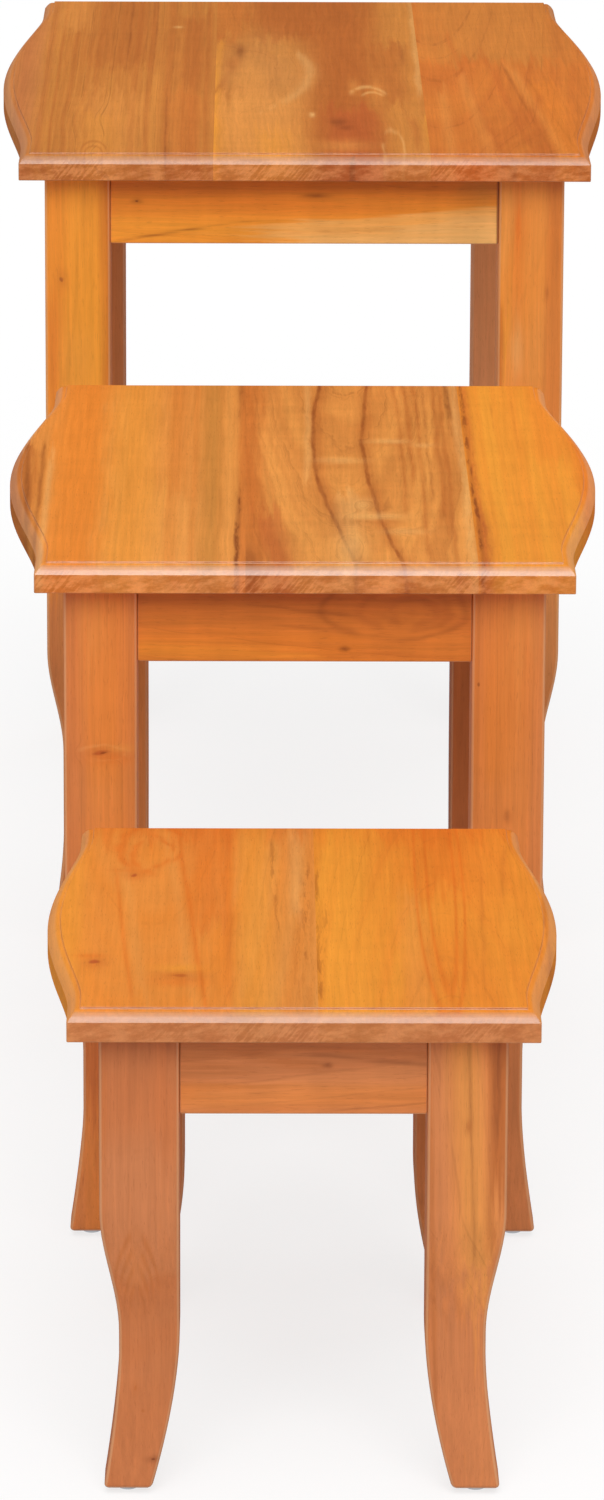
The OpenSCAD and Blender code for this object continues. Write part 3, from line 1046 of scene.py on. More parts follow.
# Boards are laid out from the middle of their table's top, seen from above with the front down
BOARD_LOOKS = {
    "large_left_board": Look(
        "tan", "brown", pith=(-300, -60), ring=3.6, contrast=0.5, lines=0.3, wander=3,
        wander_length=150, seed=1,
        streaks=(
            Streak("brown", 0.5, -128, 30, start=-10, end=420, hardness=2.5),
            Streak("umber", 0.35, -125, 1.2, start=40, end=400, speckle=0.4),
            Streak("honey", 0.4, -134, 22, start=-400, end=-60, hardness=3),
            Streak("gold", 0.2, -140, 14, start=-400, end=-120, hardness=3),
            Streak("honey", 0.45, -166, 12, start=150, end=420),
            Streak("blush", 0.5, -198, 15, hardness=3),
            Streak("brown", 0.55, -78, 12, start=-90, end=280, hardness=3),
            Streak("russet", 0.45, -80, 12, start=-400, end=-40, hardness=3),
            Streak("umber", 0.5, -94, 0.9, start=-400, end=-70, speckle=0.4),
            Streak("umber", 0.3, -106, 0.8, start=-60, end=400, speckle=0.5)),
        knots=(
            Knot(-142, -318, 9, 46, halo=0.4, halo_tint="brown", halo_width=0.1, crook=0.3, arch=1,
                 pull=9),
            Knot(-142, -318, 6, 28, halo=0.4, halo_tint="brown", halo_width=0.14, crook=0.3),
            Knot(-150, -190, 16, 60, pull=7),
            Knot(-90, 196, 3, 5, glow=0.5, tint="cream"))),
    "large_centre_board": Look(
        "tan", "brown", pith=(10, -140), ring=4.5, contrast=0.4, lines=0.18, wander=9,
        wander_length=120, ripple=0.07, seed=2,
        streaks=(
            Streak("brown", 0.8, -12, 29, start=105, end=430, hardness=4),
            Streak("russet", 0.5, -54, 14, start=110, end=430, hardness=4),
            Streak("brown", 0.85, 29, 27, hardness=3),
            Streak("heart", 0.7, 33, 19, start=-420, end=-110, hardness=3),
            Streak("honey", 0.8, -29, 30, start=-430, end=-70, hardness=4),
            Streak("gold", 0.45, -22, 12, start=-430, end=-200),
            Streak("gold", 0.5, -60.0, 3.0, start=-200, end=160),
            Streak("gold", 0.85, -62.0, 2.6, start=-420, end=60),
            Streak("gold", 0.6, -61.0, 5.0, start=-420, end=-140),
            Streak("cream", 0.42, 6.0, 4.5, bow=-1.3, start=-150, end=110),
            Streak("brown", 0.6, -52, 2.6, lean=0.11, start=-130, end=80),
            Streak("tan", 0.55, 72, 14, hardness=4),
            Streak("brown", 0.5, 70, 3, lean=-0.03, start=-330, end=-120),
            Streak("umber", 0.45, 74, 2.4, start=20, end=150, speckle=0.3),
            Streak("brown", 0.6, 65, 12, start=-150, end=150),
            Streak("cream", 0.35, 84.0, 2.6, start=-120, end=420),
            Streak("gold", 0.6, 79, 5, lean=-0.04, start=-420, end=-170)),
        knots=(
            Knot(-27, 4, 34, 150, glow=0.7, tint="pale_brown", hardness=1.5, pull=20),
            Knot(-36, -50, 13, 90, glow=0.55, tint="honey", hardness=1.5),
            Knot(-44, 92, 3.5, 30, glow=0.6, tint="umber"),
            Knot(-50, 40, 6, 34, glow=0.45, tint="brown"),
            Knot(46, -95, 12, 38, halo=0.48, halo_width=0.14, crook=0.3, arch=1, pull=12),
            Knot(49, -98, 7, 20, halo=0.4, halo_width=0.2, crook=0.3, arch=1),
            Knot(32, -321, 2.2, 5, glow=0.9, tint="umber", hardness=2, pull=5),
            Knot(44, -322, 11, 6, glow=0.5, tint="heart", hardness=2),
            Knot(36, -55, 4, 30, glow=0.4, tint="honey"),
            Knot(52, -70, 4, 40, glow=0.3, tint="honey"),
            Knot(6, -168, 2, 9, glow=0.7, tint="cream"),
            Knot(24, -196, 6, 14, glow=0.6, tint="umber", pull=6),
            Knot(29, -218, 5, 10, glow=0.45, tint="umber"),
            Knot(27, -286, 18, 22, glow=0.5, tint="honey", pull=8),
            Knot(60, -290, 7, 60, halo=0.3, halo_width=0.16, crook=0.6))),
    "large_right_board": Look(
        "amber", "russet", pith=(96, -70), lean=0.06, ring=5.5, contrast=0.6, lines=0.22, wander=4,
        wander_length=160, seed=3,
        streaks=(
            Streak("tan", 0.65, 142, 62, start=20, end=430, hardness=4),
            Streak("russet", 0.6, 137, 3.0, lean=-0.05, start=-330, end=110),
            Streak("russet", 0.45, 116, 2.4, lean=-0.05, start=-420, end=200),
            Streak("honey", 0.4, 151, 4, lean=-0.07, start=-420, end=60),
            Streak("umber", 0.35, 146, 1.4, lean=-0.06, start=-420, end=60, speckle=0.3),
            Streak("umber", 0.3, 158, 1.2, lean=-0.08, start=-420, end=0, speckle=0.3),
            Streak("orange", 0.5, 168, 13, lean=-0.03, start=-420, end=-20, hardness=2),
            Streak("russet", 0.5, 172, 5, lean=0.03, bow=-0.4, start=-420, end=-60),
            Streak("honey", 0.35, 98, 4, start=-420, end=-40),
            Streak("honey", 0.3, 114, 5, lean=-0.03, start=-420, end=20),
            Streak("russet", 0.6, 154, 7, lean=-0.02, start=-420, end=-110, hardness=3),
            Streak("russet", 0.45, 126, 5, start=-280, end=-170),
            Streak("brown", 0.35, 186, 6, lean=0.02, start=20, end=420)),
        knots=(
            Knot(150, -330, 26, 80, pull=16),
            Knot(112, -323, 19, 5, glow=0.8, tint="ember", hardness=3),
            Knot(140, -323, 3, 5, glow=0.5, tint="umber", hardness=2))),
    "medium_left_board": Look(
        "honey", "amber", pith=(-260, -80), ring=6, contrast=0.45, lines=0.08, wander=4,
        wander_length=140, seed=4,
        streaks=(
            Streak("gold", 0.5, -108, 22, hardness=2.5),
            Streak("amber", 0.5, -78, 14, start=-90, end=400, hardness=2),
            Streak("orange", 0.85, -141, 20, hardness=3.5),
            Streak("brown", 0.8, -184, 18, start=-330, end=110, hardness=4),
            Streak("umber", 0.5, -172, 2.0, lean=-0.02, start=-330, end=90, speckle=0.2),
            Streak("umber", 0.5, -163, 1.6, start=-330, end=100, speckle=0.3),
            Streak("cream", 0.4, -158, 2.2, start=-330, end=60),
            Streak("olive", 0.55, -56, 8, hardness=2.5),
            Streak("honey", 0.6, -47, 4),
            Streak("russet", 0.7, -36, 4, hardness=3),
            Streak("umber", 0.85, -40, 1.8, start=-330, end=-30, hardness=3, speckle=0.5),
            Streak("umber", 0.45, -39, 2.2, start=130, end=330, speckle=0.4))),
    "medium_centre_board": Look(
        "honey", "brown", pith=(30, -75), lean=0.04, ring=4.2, contrast=0.42, lines=0.3, wander=6,
        wander_length=80, ripple=0.1, seed=5,
        streaks=(
            Streak("russet", 0.7, -33, 10, hardness=3),
            Streak("heart", 0.6, -28, 8, lean=-0.05, start=-400, end=-80, hardness=3),
            Streak("honey", 0.6, 2, 7, start=-400, end=-120),
            Streak("umber", 0.9, 9, 1.4, lean=-0.036, bow=0.2, hardness=3, speckle=0.3),
            Streak("brown", 0.55, 11, 5, lean=-0.036, bow=0.2),
            Streak("umber", 0.82, 40, 1.3, lean=-0.028, bow=0.21, hardness=3, speckle=0.4),
            Streak("brown", 0.5, 41, 5, lean=-0.028, bow=0.21),
            Streak("cream", 0.3, 27, 9, start=-400, end=-30),
            Streak("cream", 0.3, 4, 2.2, start=-60, end=300),
            Streak("brown", 0.55, 63, 1.8, start=-140, end=400, speckle=0.3),
            Streak("brown", 0.6, 69, 2.0, start=-60, end=400, speckle=0.2),
            Streak("brown", 0.55, 75, 1.8, start=-260, end=400, speckle=0.3),
            Streak("umber", 0.35, 80, 1.3, start=-100, end=400, speckle=0.4),
            Streak("brown", 0.6, 87, 2.4, start=-180, end=400),
            Streak("umber", 0.7, 95.5, 2.0, start=90, end=400, hardness=3, speckle=0.3),
            Streak("brown", 0.5, 91, 1.8),
            Streak("cream", 0.4, 100, 2.6, speckle=0.3)),
        knots=(
            Knot(-33, -238, 6, 36, glow=0.5, tint="umber"),
            Knot(44, -128, 15, 10, glow=0.45, tint="cream", pull=8),
            Knot(47, -143, 13, 8, glow=0.3, tint="brown"),
            Knot(36, -98, 7, 18, glow=0.4, tint="cream", pull=5),
            Knot(61, -168, 12, 8, glow=0.3, tint="cream", pull=5),
            Knot(23, 24, 14, 9, glow=0.35, tint="cream", pull=6),
            Knot(20, 11, 11, 9, glow=0.25, tint="brown"),
            Knot(56, 79, 12, 7, glow=0.4, tint="cream", pull=3),
            Knot(56, 69, 10, 6, glow=0.25, tint="brown"),
            Knot(77, 68, 7, 6, glow=0.3, tint="cream", pull=3),
            Knot(28, -205, 9, 38, glow=0.3, tint="cream", pull=9))),
    "medium_right_board": Look(
        "gold", "orange", pith=(240, -70), ring=7, contrast=0.55, lines=0.06, wander=3,
        wander_length=160, ripple=0.06, fibre=0.2, seed=6,
        streaks=(
            Streak("heart", 0.55, 107.5, 3.4, speckle=0.3),
            Streak("heart", 0.5, 107, 5.5, start=-330, end=-90, speckle=0.3),
            Streak("umber", 0.75, 105.5, 1.5, hardness=3, speckle=0.6),
            Streak("brown", 0.3, 124, 0.9, start=90, end=220, speckle=0.5),
            Streak("brown", 0.25, 138, 0.9, start=60, end=230, speckle=0.5),
            Streak("orange", 0.6, 160, 16, start=0, end=400, hardness=2),
            Streak("ember", 0.5, 178, 8, hardness=2.5))),
    "small_left_board": Look(
        "honey", "orange", pith=(-86, -60), lean=0.08, ring=6.5, contrast=0.55, lines=0.1, wander=4,
        wander_length=110, ripple=0.05, fibre=0.2, end_stain=0.85, end_flecks=0.4, seed=7,
        streaks=(
            Streak("orange", 0.5, -98, 56, hardness=4),
            Streak("ember", 0.4, -60, 100, start=128, end=300, hardness=6),
            Streak("ember", 0.5, -54, 14, start=-60, end=300),
            Streak("ember", 0.5, -42, 4, start=-200, end=260),
            Streak("orange", 0.5, -48, 10, start=-300, end=-10),
            Streak("gold", 0.45, -27, 12, hardness=2.5),
            Streak("ember", 0.4, -102, 1.4, lean=-0.05, start=-200, end=110),
            Streak("honey", 0.5, -96, 3.5, lean=-0.05, start=-200, end=120),
            Streak("ember", 0.45, -63, 1.6, lean=-0.05, start=-200, end=200),
            Streak("honey", 0.45, -69, 3.0, lean=-0.05, start=-200, end=160),
            Streak("gold", 0.55, -134, 12, hardness=3),
            Streak("brown", 0.3, -2, 10, speckle=0.5),
            Streak("umber", 0.35, 2, 2.4, lean=0.02, start=-110, end=130, speckle=0.95),
            Streak("cream", 0.25, -3, 4, start=-20, end=200),
            Streak("umber", 0.35, -14, 1.6, lean=-0.02, start=-60, end=190, speckle=0.95)),
        knots=(
            Knot(-86, 136, 18, 52, halo=0.6, halo_tint="ember", halo_width=0.16, pull=12),
            Knot(-86, 122, 11, 34, halo=0.55, halo_tint="ember", halo_width=0.2),
            Knot(-96, 78, 7, 11, heart=1.0, glow=0.35, tint="heart", pull=5),
            Knot(-100, 88, 9, 4, glow=0.3, tint="ember"),
            Knot(-115, -94, 7, 12, heart=1.0, glow=0.35, tint="heart", pull=4),
            Knot(-118, -82, 8, 4, glow=0.4, tint="ember"),
            Knot(-68, -106, 12, 8, glow=0.6, tint="gold"),
            Knot(-68, -119, 14, 9, heart=1.0, glow=0.5, tint="russet", pull=6),
            Knot(-68, -132, 15, 8, glow=0.4, tint="ember"))),
    "small_right_board": Look(
        "gold", "orange", pith=(80, -44), lean=-0.09, ring=6, contrast=0.6, lines=0.12, wander=4,
        wander_length=110, ripple=0.05, fibre=0.2, end_stain=0.85, end_flecks=0.4, seed=8,
        streaks=(
            Streak("orange", 0.6, 98, 54, hardness=3),
            Streak("ember", 0.4, 80, 90, start=128, end=300, hardness=6),
            Streak("brown", 0.3, 102, 1.4, lean=0.03, start=-170, end=150, speckle=0.4),
            Streak("brown", 0.25, 112, 1.8, lean=0.05, start=-60, end=170, speckle=0.4),
            Streak("brown", 0.25, 68, 1.2, lean=-0.02, start=-170, end=170, speckle=0.5),
            Streak("gold", 0.6, 25, 14, hardness=3),
            Streak("umber", 0.4, 8.5, 1.6, start=-180, end=110, speckle=0.8),
            Streak("umber", 0.3, 14, 1.6, lean=0.03, start=-190, end=20, speckle=0.95),
            Streak("brown", 0.3, 6, 4, speckle=0.6),
            Streak("ember", 0.45, 82, 22, start=10, end=300, hardness=2),
            Streak("honey", 0.4, 62, 8, start=-300, end=60),
            Streak("brown", 0.5, 137, 1.8, start=-170, end=60, speckle=0.3)),
        knots=(
            Knot(118, -20, 12, 60, glow=0.35, tint="gold"),
            Knot(79, 60, 14, 255, halo=0.5, halo_tint="ember", halo_width=0.07, crook=0.2),
            Knot(80, 80, 8, 225, halo=0.5, halo_tint="ember", halo_width=0.12, crook=0.2))),
}

# Legs are laid out from the middle of their table, with heights from the floor
LEG_LOOKS = {
    "large_front_left_leg": Look(
        "gold", "orange", pith=(-120, -60), lean=0.03, ring=7, contrast=0.5, lines=0.1, seed=31,
        streaks=(
            Streak("gold", 0.6, -153, 8, start=290, end=620, hardness=3),
            Streak("russet", 0.7, -131, 6, start=230, end=620, hardness=3),
            Streak("ember", 0.4, -170, 4),
            Streak("blush", 0.75, -155, 70, start=-50, end=300, hardness=6)),
        knots=(
            Knot(-164, 472, 4, 6, heart=0.9, glow=0.3, tint="brown", pull=6),
            Knot(-154, 300, 7, 30, glow=0.4, tint="cream"))),
    "large_front_right_leg": Look(
        "honey", "orange", pith=(190, -50), lean=0.04, ring=7, contrast=0.55, lines=0.1, seed=32,
        streaks=(
            Streak("gold", 0.7, 137, 3, start=380, end=490),
            Streak("ember", 0.3, 145, 5, start=300, end=600),
            Streak("russet", 0.55, 170, 6, start=300, end=620, hardness=3),
            Streak("russet", 0.6, 134, 1.8, start=330, end=480),
            Streak("brown", 0.4, 163, 1.4, start=330, end=470),
            Streak("blush", 0.55, 155, 70, start=-50, end=300, hardness=6)),
        knots=(
            Knot(144, 510, 2, 16, glow=0.6, tint="ember"),
            Knot(164, 463, 1.4, 5, glow=0.6, tint="brown"),
            Knot(144, 424, 4, 22, glow=0.4, tint="cream"))),
    "large_back_left_leg": Look(
        "blush", "brown", ring=4, contrast=0.4, lines=0.35, seed=37),
    "large_back_right_leg": Look("end_pale", "rose", ring=5, contrast=0.4, lines=0.14, seed=38),
    "medium_back_right_leg": Look(
        "clay", "umber", ring=4, contrast=0.6, lines=0.3, wander=6, seed=39),
    "medium_front_left_leg": Look(
        "rose", "clay", pith=(-200, -60), ring=5, contrast=0.4, lines=0.14, wander=3,
        wander_length=160, seed=33,
        streaks=(
            Streak("orange", 0.5, -119, 15, hardness=3),
            Streak("clay", 0.3, -139, 5),
            # Dark band low on the leg: painted shade where it stands behind the small table
            Streak("heart", 0.6, -133, 40, start=40, end=195, hardness=4),
            Streak("honey", 0.3, -128, 10, start=330, end=450)),
        knots=(
            Knot(-121, 307, 13, 4.6, heart=1.0, glow=0.3, tint="heart", halo=0.2, pull=7),
            Knot(-120, 307, 5, 2, heart=0.8, tint="umber"),
            Knot(-110, 310, 8, 2.6, glow=0.45, tint="honey"),
            Knot(-118, 303, 14, 4, glow=0.25, tint="ember"))),
    "medium_front_right_leg": Look(
        "rose", "clay", pith=(210, -70), ring=5, contrast=0.4, lines=0.16, wander=3,
        wander_length=160, seed=34,
        streaks=(
            Streak("orange", 0.5, 121, 18, hardness=3),
            Streak("blush", 0.7, 133, 40, start=-60, end=195, hardness=4),
            Streak("honey", 0.3, 130, 12, start=330, end=450),
            Streak("brown", 0.3, 103, 1.6)),
        knots=(
            Knot(122, 268, 2.5, 4, glow=0.6, tint="brown", pull=4),
            Knot(104, 350, 2, 5, heart=0.6, tint="umber"))),
    "small_front_left_leg": Look(
        "blush", "clay", pith=(-90, -40), lean=0.1, ring=5.5, contrast=0.55, lines=0.14, wander=3,
        seed=35,
        streaks=(
            Streak("clay", 0.4, -76, 5, start=150, end=300),
            Streak("brown", 0.18, -90, 60, start=-60, end=170, hardness=4),
            Streak("brown", 0.3, -108, 1.4, start=120, end=300)),
        knots=(
            Knot(-91, 110, 12, 42, halo=0.5, halo_tint="brown", halo_width=0.08, crook=0.3, arch=1,
                 pull=4),
            Knot(-91, 108, 9, 34, halo=0.5, halo_tint="brown", halo_width=0.1, crook=0.3, arch=1),
            Knot(-91, 104, 6.5, 27, halo=0.5, halo_tint="brown", halo_width=0.12, crook=0.3,
                 arch=1),
            Knot(-91, 100, 4, 21, halo=0.4, halo_tint="brown", halo_width=0.16, crook=0.3, arch=1),
            Knot(-92, 132, 8, 16, glow=0.3, tint="rose"),
            Knot(-92, 60, 2.5, 5, heart=0.6, glow=0.3, tint="brown"),
            Knot(-88, 47, 3, 4, heart=0.5, tint="brown"),
            Knot(-82, 20, 4, 2, heart=0.9, glow=0.5, tint="umber"))),
    "small_front_right_leg": Look(
        "rose", "clay", pith=(40, -50), lean=0.05, ring=4.5, contrast=0.5, lines=0.16, wander=3,
        wander_length=120, seed=36,
        streaks=(
            Streak("blush", 0.7, 90, 60, start=-60, end=140, hardness=4),
            Streak("blush", 0.6, 73, 9, start=100, end=400, hardness=3),
            Streak("honey", 0.75, 105, 10, lean=-0.066, start=90, end=400, hardness=3),
            Streak("brown", 0.8, 107, 7, start=130, end=400, hardness=3),
            Streak("umber", 0.6, 106, 2.6, start=180, end=400, speckle=0.6),
            Streak("umber", 0.35, 98, 1.2, lean=-0.03, start=110, end=400, speckle=0.3),
            Streak("brown", 0.4, 74, 1.6, lean=-0.02)),
        knots=(Knot(90, 215, 2, 4, glow=0.5, tint="brown"),)),
}

# Rails are laid out from their own middle, with the grain along them
APRON_LOOKS = {
    "large_front_apron": Look(
        "gold", "orange", pith=(60, -70), lean=0.1, ring=7, contrast=0.6, lines=0.16, wander=5,
        wander_length=120, ripple=0.16, seed=41,
        streaks=(
            Streak("orange", 0.7, 6, 12, hardness=3),
            Streak("gold", 0.5, -14, 8, start=-300, end=0, hardness=3),
            Streak("cream", 0.85, -22, 17, lean=0.06, start=-40, end=300, hardness=10),
            Streak("gold", 0.45, -18, 8, lean=0.06, start=-60, end=120, hardness=3),
            Streak("cream", 0.65, -22, 8, start=-60, end=300, hardness=3),
            Streak("gold", 0.3, -8, 5, lean=0.06, start=-10, end=300, hardness=3),
            Streak("brown", 0.35, -15, 1.4, lean=0.03, start=-20, end=120, speckle=0.8),
            Streak("umber", 0.6, -1, 1.2, lean=0.16, start=-150, end=-40),
            Streak("russet", 0.5, 17, 6, hardness=3)),
        knots=(
            Knot(6, -113, 2, 4, heart=0.9, glow=0.4, tint="umber", pull=3),
            Knot(10, 8, 1.6, 9, glow=0.6, tint="umber", pull=4),
            Knot(14, 122, 12, 16, glow=0.5, tint="olive"),
            # Dark line at the rail's right end: a painted shadow in the gap beside the leg
            Knot(0, 131, 60, 1.5, glow=1.0, tint="umber", hardness=2))),
    "medium_front_apron": Look(
        "amber", "russet", pith=(30, -60), lean=0.08, ring=5, contrast=0.5, lines=0.24, wander=6,
        ripple=0.16, seed=42,
        streaks=(
            Streak("orange", 0.5, -12, 10, start=-200, end=70, hardness=3),
            Streak("gold", 0.35, -17, 6, start=-200, end=20, hardness=3),
            Streak("umber", 0.35, 8, 1.4, lean=-0.12, start=-60, end=60),
            Streak("umber", 0.3, -2, 1.2, lean=-0.1, start=-40, end=80),
            Streak("brown", 0.4, 16, 4, start=-200, end=200)),
        knots=(
            Knot(8, 64, 8, 14, halo=0.5, halo_tint="brown", glow=0.3, tint="brown", halo_width=0.3,
                 crook=0.5, pull=14),
            Knot(9, 60, 14, 26, halo=0.45, halo_tint="brown", halo_width=0.14, crook=0.5),
            Knot(10, 54, 21, 42, halo=0.3, halo_tint="umber", halo_width=0.07, crook=0.5),
            # Dark spot at the rail's top left end: a painted shadow in the gap under the top
            Knot(22, -97, 2.2, 5, glow=0.9, tint="umber", hardness=3),
            Knot(-15, 24, 1.6, 3, glow=0.7, tint="umber"))),
    "small_front_apron": Look(
        "rose", "clay", pith=(50, -60), lean=-0.12, ring=5, contrast=0.55, lines=0.24, wander=5,
        ripple=0.14, seed=43,
        streaks=(
            Streak("blush", 0.5, 0, 40, hardness=4),
            Streak("brown", 0.4, 0, 20, start=-200, end=-10, hardness=3),
            Streak("brown", 0.5, 6, 4, lean=-0.22, start=-90, end=30),
            Streak("umber", 0.4, 12, 1.6, lean=-0.1, start=-20, end=130),
            Streak("brown", 0.4, 16, 3, lean=-0.08, start=-80, end=90),
            Streak("orange", 0.4, -13, 8, hardness=3)),
        knots=(Knot(5, 13, 1.6, 2.6, glow=0.6, tint="umber", pull=3),)),
}

# The other legs and rails of a table share one plain look
PLAIN_LEGS = {
    "large": Look("honey", "orange", ring=6, contrast=0.55, lines=0.12, seed=11),
    "medium": Look("rose", "clay", ring=5, contrast=0.5, lines=0.14, seed=12),
    "small": Look("rose", "clay", ring=5, contrast=0.55, lines=0.16, seed=13),
}
PLAIN_APRONS = {
    "large": Look("orange", "russet", ring=6, contrast=0.5, lines=0.16, seed=21),
    "medium": Look("amber", "russet", ring=5, contrast=0.5, lines=0.2, seed=22),
    "small": Look("rose", "clay", ring=5, contrast=0.5, lines=0.2, seed=23),
}

# Axes that run across, along and into the wood of each kind of piece
BOARD_GRAIN = "XYZ"
LEG_GRAIN = "XZY"
SIDE_GRAIN = "ZYX"
END_GRAIN = "ZXY"
# How much the slow drift of the colour and pooled lacquer change the tone, and pores darken it
DRIFT_TONE = 0.4
POOL_TONE = -0.22
PORE_TONE = 0.16
# Lacquer on the beads, which has pooled more on the two smaller tops
BEAD_COATS = {"large": 0.27, "medium": 0.4, "small": 0.3}


def new_material(name):
    """An empty material, and the desk that fills it."""
    material = bpy.data.materials.new(name)
    material.use_nodes = True
    material.node_tree.nodes.clear()
    return material, Desk(material.node_tree)


def close_surface(desk, height, strength, depth, sockets):
    """Ends a material in a shader with a fine relief."""
    bump = desk.node("ShaderNodeBump", {"Height": height, "Strength": strength, "Distance": depth})
    shader = desk.node("ShaderNodeBsdfPrincipled", {**sockets, "Normal": bump.outputs["Normal"]})
    desk.node("ShaderNodeOutputMaterial", {"Surface": shader.outputs["BSDF"]})


def knot_masks(desk, look, place):
    """The masks of each knot of a look, and their whole pull on the rings."""
    knots = [desk.group("Knot", {
        "Place": place, "Across": knot.across * MM, "Along": knot.along * MM,
        "Width": knot.width * MM, "Length": knot.length * MM, "Halo width": knot.halo_width,
        "Hardness": knot.hardness, "Crook": knot.crook, "Arch": knot.arch,
        "Pull": knot.pull * MM}) for knot in look.knots]
    pull = 0.0
    for masks in knots:
        pull = desk.calc("ADD", masks["Pull"], pull)
    return knots, pull


def figure(desk, look, tint, rings, fibre, knots):
    """The colours of a look: its growth bands, its streaks, its knots and its dark lines."""
    shade = desk.tinted(tint[look.pale], rings["Rings"], look.contrast, tint[look.deep])
    for streak in look.streaks:
        mask = desk.group("Grain streak", {
            "Place": rings["Place"], "Fray": fibre["Fray"], "Grit": fibre["Grit"],
            "Across": streak.across * MM, "Width": streak.width * MM, "Lean": streak.lean,
            "Bow": streak.bow, "From": streak.start * MM, "To": streak.end * MM,
            "Hardness": streak.hardness, "Speckle": streak.speckle})["Mask"]
        shade = desk.tinted(shade, mask, streak.strength, tint[streak.tint])
    for knot, masks in zip(look.knots, knots):
        for part, strength, dye in (("Glow", knot.glow, knot.tint),
                                    ("Heart", knot.heart, knot.tint),
                                    ("Halo", knot.halo, knot.halo_tint)):
            if strength:
                shade = desk.tinted(shade, masks[part], strength, tint[dye])
    broken = desk.calc("MULTIPLY", desk.ease(fibre["Fray"], -0.12, 0.08), look.lines)
    return desk.tinted(shade, rings["Lines"], broken, tint["umber"])


def wood(name, look, centre, grain, colours, flat_coat=0.1, edge_coat=0.4, wear_and_highlight=0.3):
    """A lacquered wood whose figure is laid along a piece. Grain names the axes that run
    across, along and into the piece."""
    material, desk = new_material(name)
    tint = {field: tuple(getattr(colours, field)) for field in type(colours).__annotations__}
    source = desk.node("ShaderNodeTexCoord").outputs
    local = desk.split(desk.vector("SUBTRACT", source["Object"], centre))
    place = desk.join(*[local[axis] for axis in grain])
    knots, pull = knot_masks(desk, look, place)
    rings = desk.group("Growth rings", {
        "Place": place, "Pith across": look.pith[0] * MM, "Pith depth": look.pith[1] * MM,
        "Pith lean": look.lean, "Ring width": look.ring * MM, "Wander": look.wander * MM,
        "Wander length": look.wander_length * MM, "Pull": pull, "Seed": look.seed})
    fibre = desk.group("Fibre and pores", {"Place": rings["Place"]})
    toward_end = desk.calc("ABSOLUTE", desk.split(source["Normal"])[grain[1]])
    lacquer = desk.group("Satin lacquer", {
        "Normal": source["Normal"], "Toward end": toward_end, "Fibre": fibre["Fibre"],
        "Pores": fibre["Pores"], "Flat coat": flat_coat, "Edge coat": edge_coat})
    end = desk.group("End grain", {"Place": place, "Toward end": toward_end})
    shade = figure(desk, look, tint, rings, fibre, knots)
    mottle = desk.swing(MIDDLE, end["Mottle"], look.end_flecks)
    mottled = desk.mix(mottle, tint["end_deep"], tint["end_pale"])
    shade = desk.tinted(shade, end["Mask"], look.end_stain, mottled)
    tone = desk.swing(1.0, fibre["Fibre"], look.fibre * 2)
    tone = desk.swing(tone, fibre["Ripple"], look.ripple * 2)
    tone = desk.swing(tone, rings["Drift"], DRIFT_TONE)
    tone = desk.calc("MULTIPLY_ADD", lacquer["Pool"], POOL_TONE, tone)
    shade = desk.mix(1.0, shade, desk.even(tone), "MULTIPLY")
    shade = desk.tinted(shade, fibre["Pores"], PORE_TONE, tint["umber"])
    # Pale rounded edges: partly worn lacquer, partly a painted highlight
    shade = desk.tinted(shade, lacquer["Arris"], wear_and_highlight, tint["worn"])
    close_surface(desk, lacquer["Height"], strength=0.25, depth=0.4 * MM, sockets={
        "Base Color": shade, "Roughness": lacquer["Roughness"], "Specular IOR Level": 0.0,
        "Coat Weight": lacquer["Coat"], "Coat Roughness": 0.22, "Coat IOR": 2.3})
    return material


def table_centre(table):
    """Middle of a table's top face."""
    low, high = table_box(table)
    return Vector(((low.x + high.x) / 2, (low.y + high.y) / 2, high.z))


def board_wood(table, board, colours):
    node = f"{table}_{board}"
    return wood(f"{node} wood", BOARD_LOOKS[node], table_centre(table), BOARD_GRAIN, colours,
                flat_coat=0.02, edge_coat=BEAD_COATS[table], wear_and_highlight=0.12)


def leg_wood(table, name, colours):
    node = f"{table}_{name}"
    centre = table_centre(table)
    look = LEG_LOOKS.get(node, PLAIN_LEGS[table])
    return wood(f"{node} wood", look, Vector((centre.x, centre.y, 0)), LEG_GRAIN, colours)


def apron_wood(table, name, colours):
    node = f"{table}_{name}"
    low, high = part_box(node)
    grain = SIDE_GRAIN if high.y - low.y > high.x - low.x else END_GRAIN
    look = APRON_LOOKS.get(node, PLAIN_APRONS[table])
    return wood(f"{node} wood", look, (low + high) / 2, grain, colours)


def plain_wood(name, pale, deep):
    """Unlacquered wood for the blocks, buttons and dowels."""
    material, desk = new_material(name)
    place = desk.node("ShaderNodeTexCoord").outputs["Object"]
    rings = desk.group("Growth rings", {"Place": place, "Ring width": 3 * MM, "Wander": 3 * MM})
    fibre = desk.group("Fibre and pores", {"Place": place})["Fibre"]
    shade = desk.mix(rings["Rings"], tuple(pale), tuple(deep))
    shade = desk.mix(1.0, shade, desk.even(desk.swing(1.0, fibre, 0.5)), "MULTIPLY")
    close_surface(desk, fibre, strength=0.4, depth=0.5 * MM, sockets={
        "Base Color": shade, "Roughness": desk.calc("MULTIPLY_ADD", fibre, 0.2, 0.6)})
    return material


# Steps of noise in a metre, for the scuffs and for the unevenness of a plating
SCUFF_SCALE = (900.0, 2600.0, 900.0)
PLATING_SCALE = (160.0, 160.0, 160.0)


def plated_metal(name, plate, roughness):
    """Plated steel with fine scuffs and a slightly uneven plating."""
    material, desk = new_material(name)
    place = desk.node("ShaderNodeTexCoord").outputs["Object"]
    scuffs = desk.noise(place, SCUFF_SCALE, detail=3.0, roughness=0.6)["Fac"]
    cloud = desk.noise(place, PLATING_SCALE)["Fac"]
    tone = desk.even(desk.calc("MULTIPLY_ADD", cloud, 0.3, 0.82))
    close_surface(desk, scuffs, strength=0.3, depth=0.1 * MM, sockets={
        "Base Color": desk.mix(1.0, tuple(plate), tone, "MULTIPLY"), "Metallic": 1.0,
        "Roughness": desk.calc("MULTIPLY_ADD", scuffs, 0.2, roughness - 0.1)})
    return material


# Stage

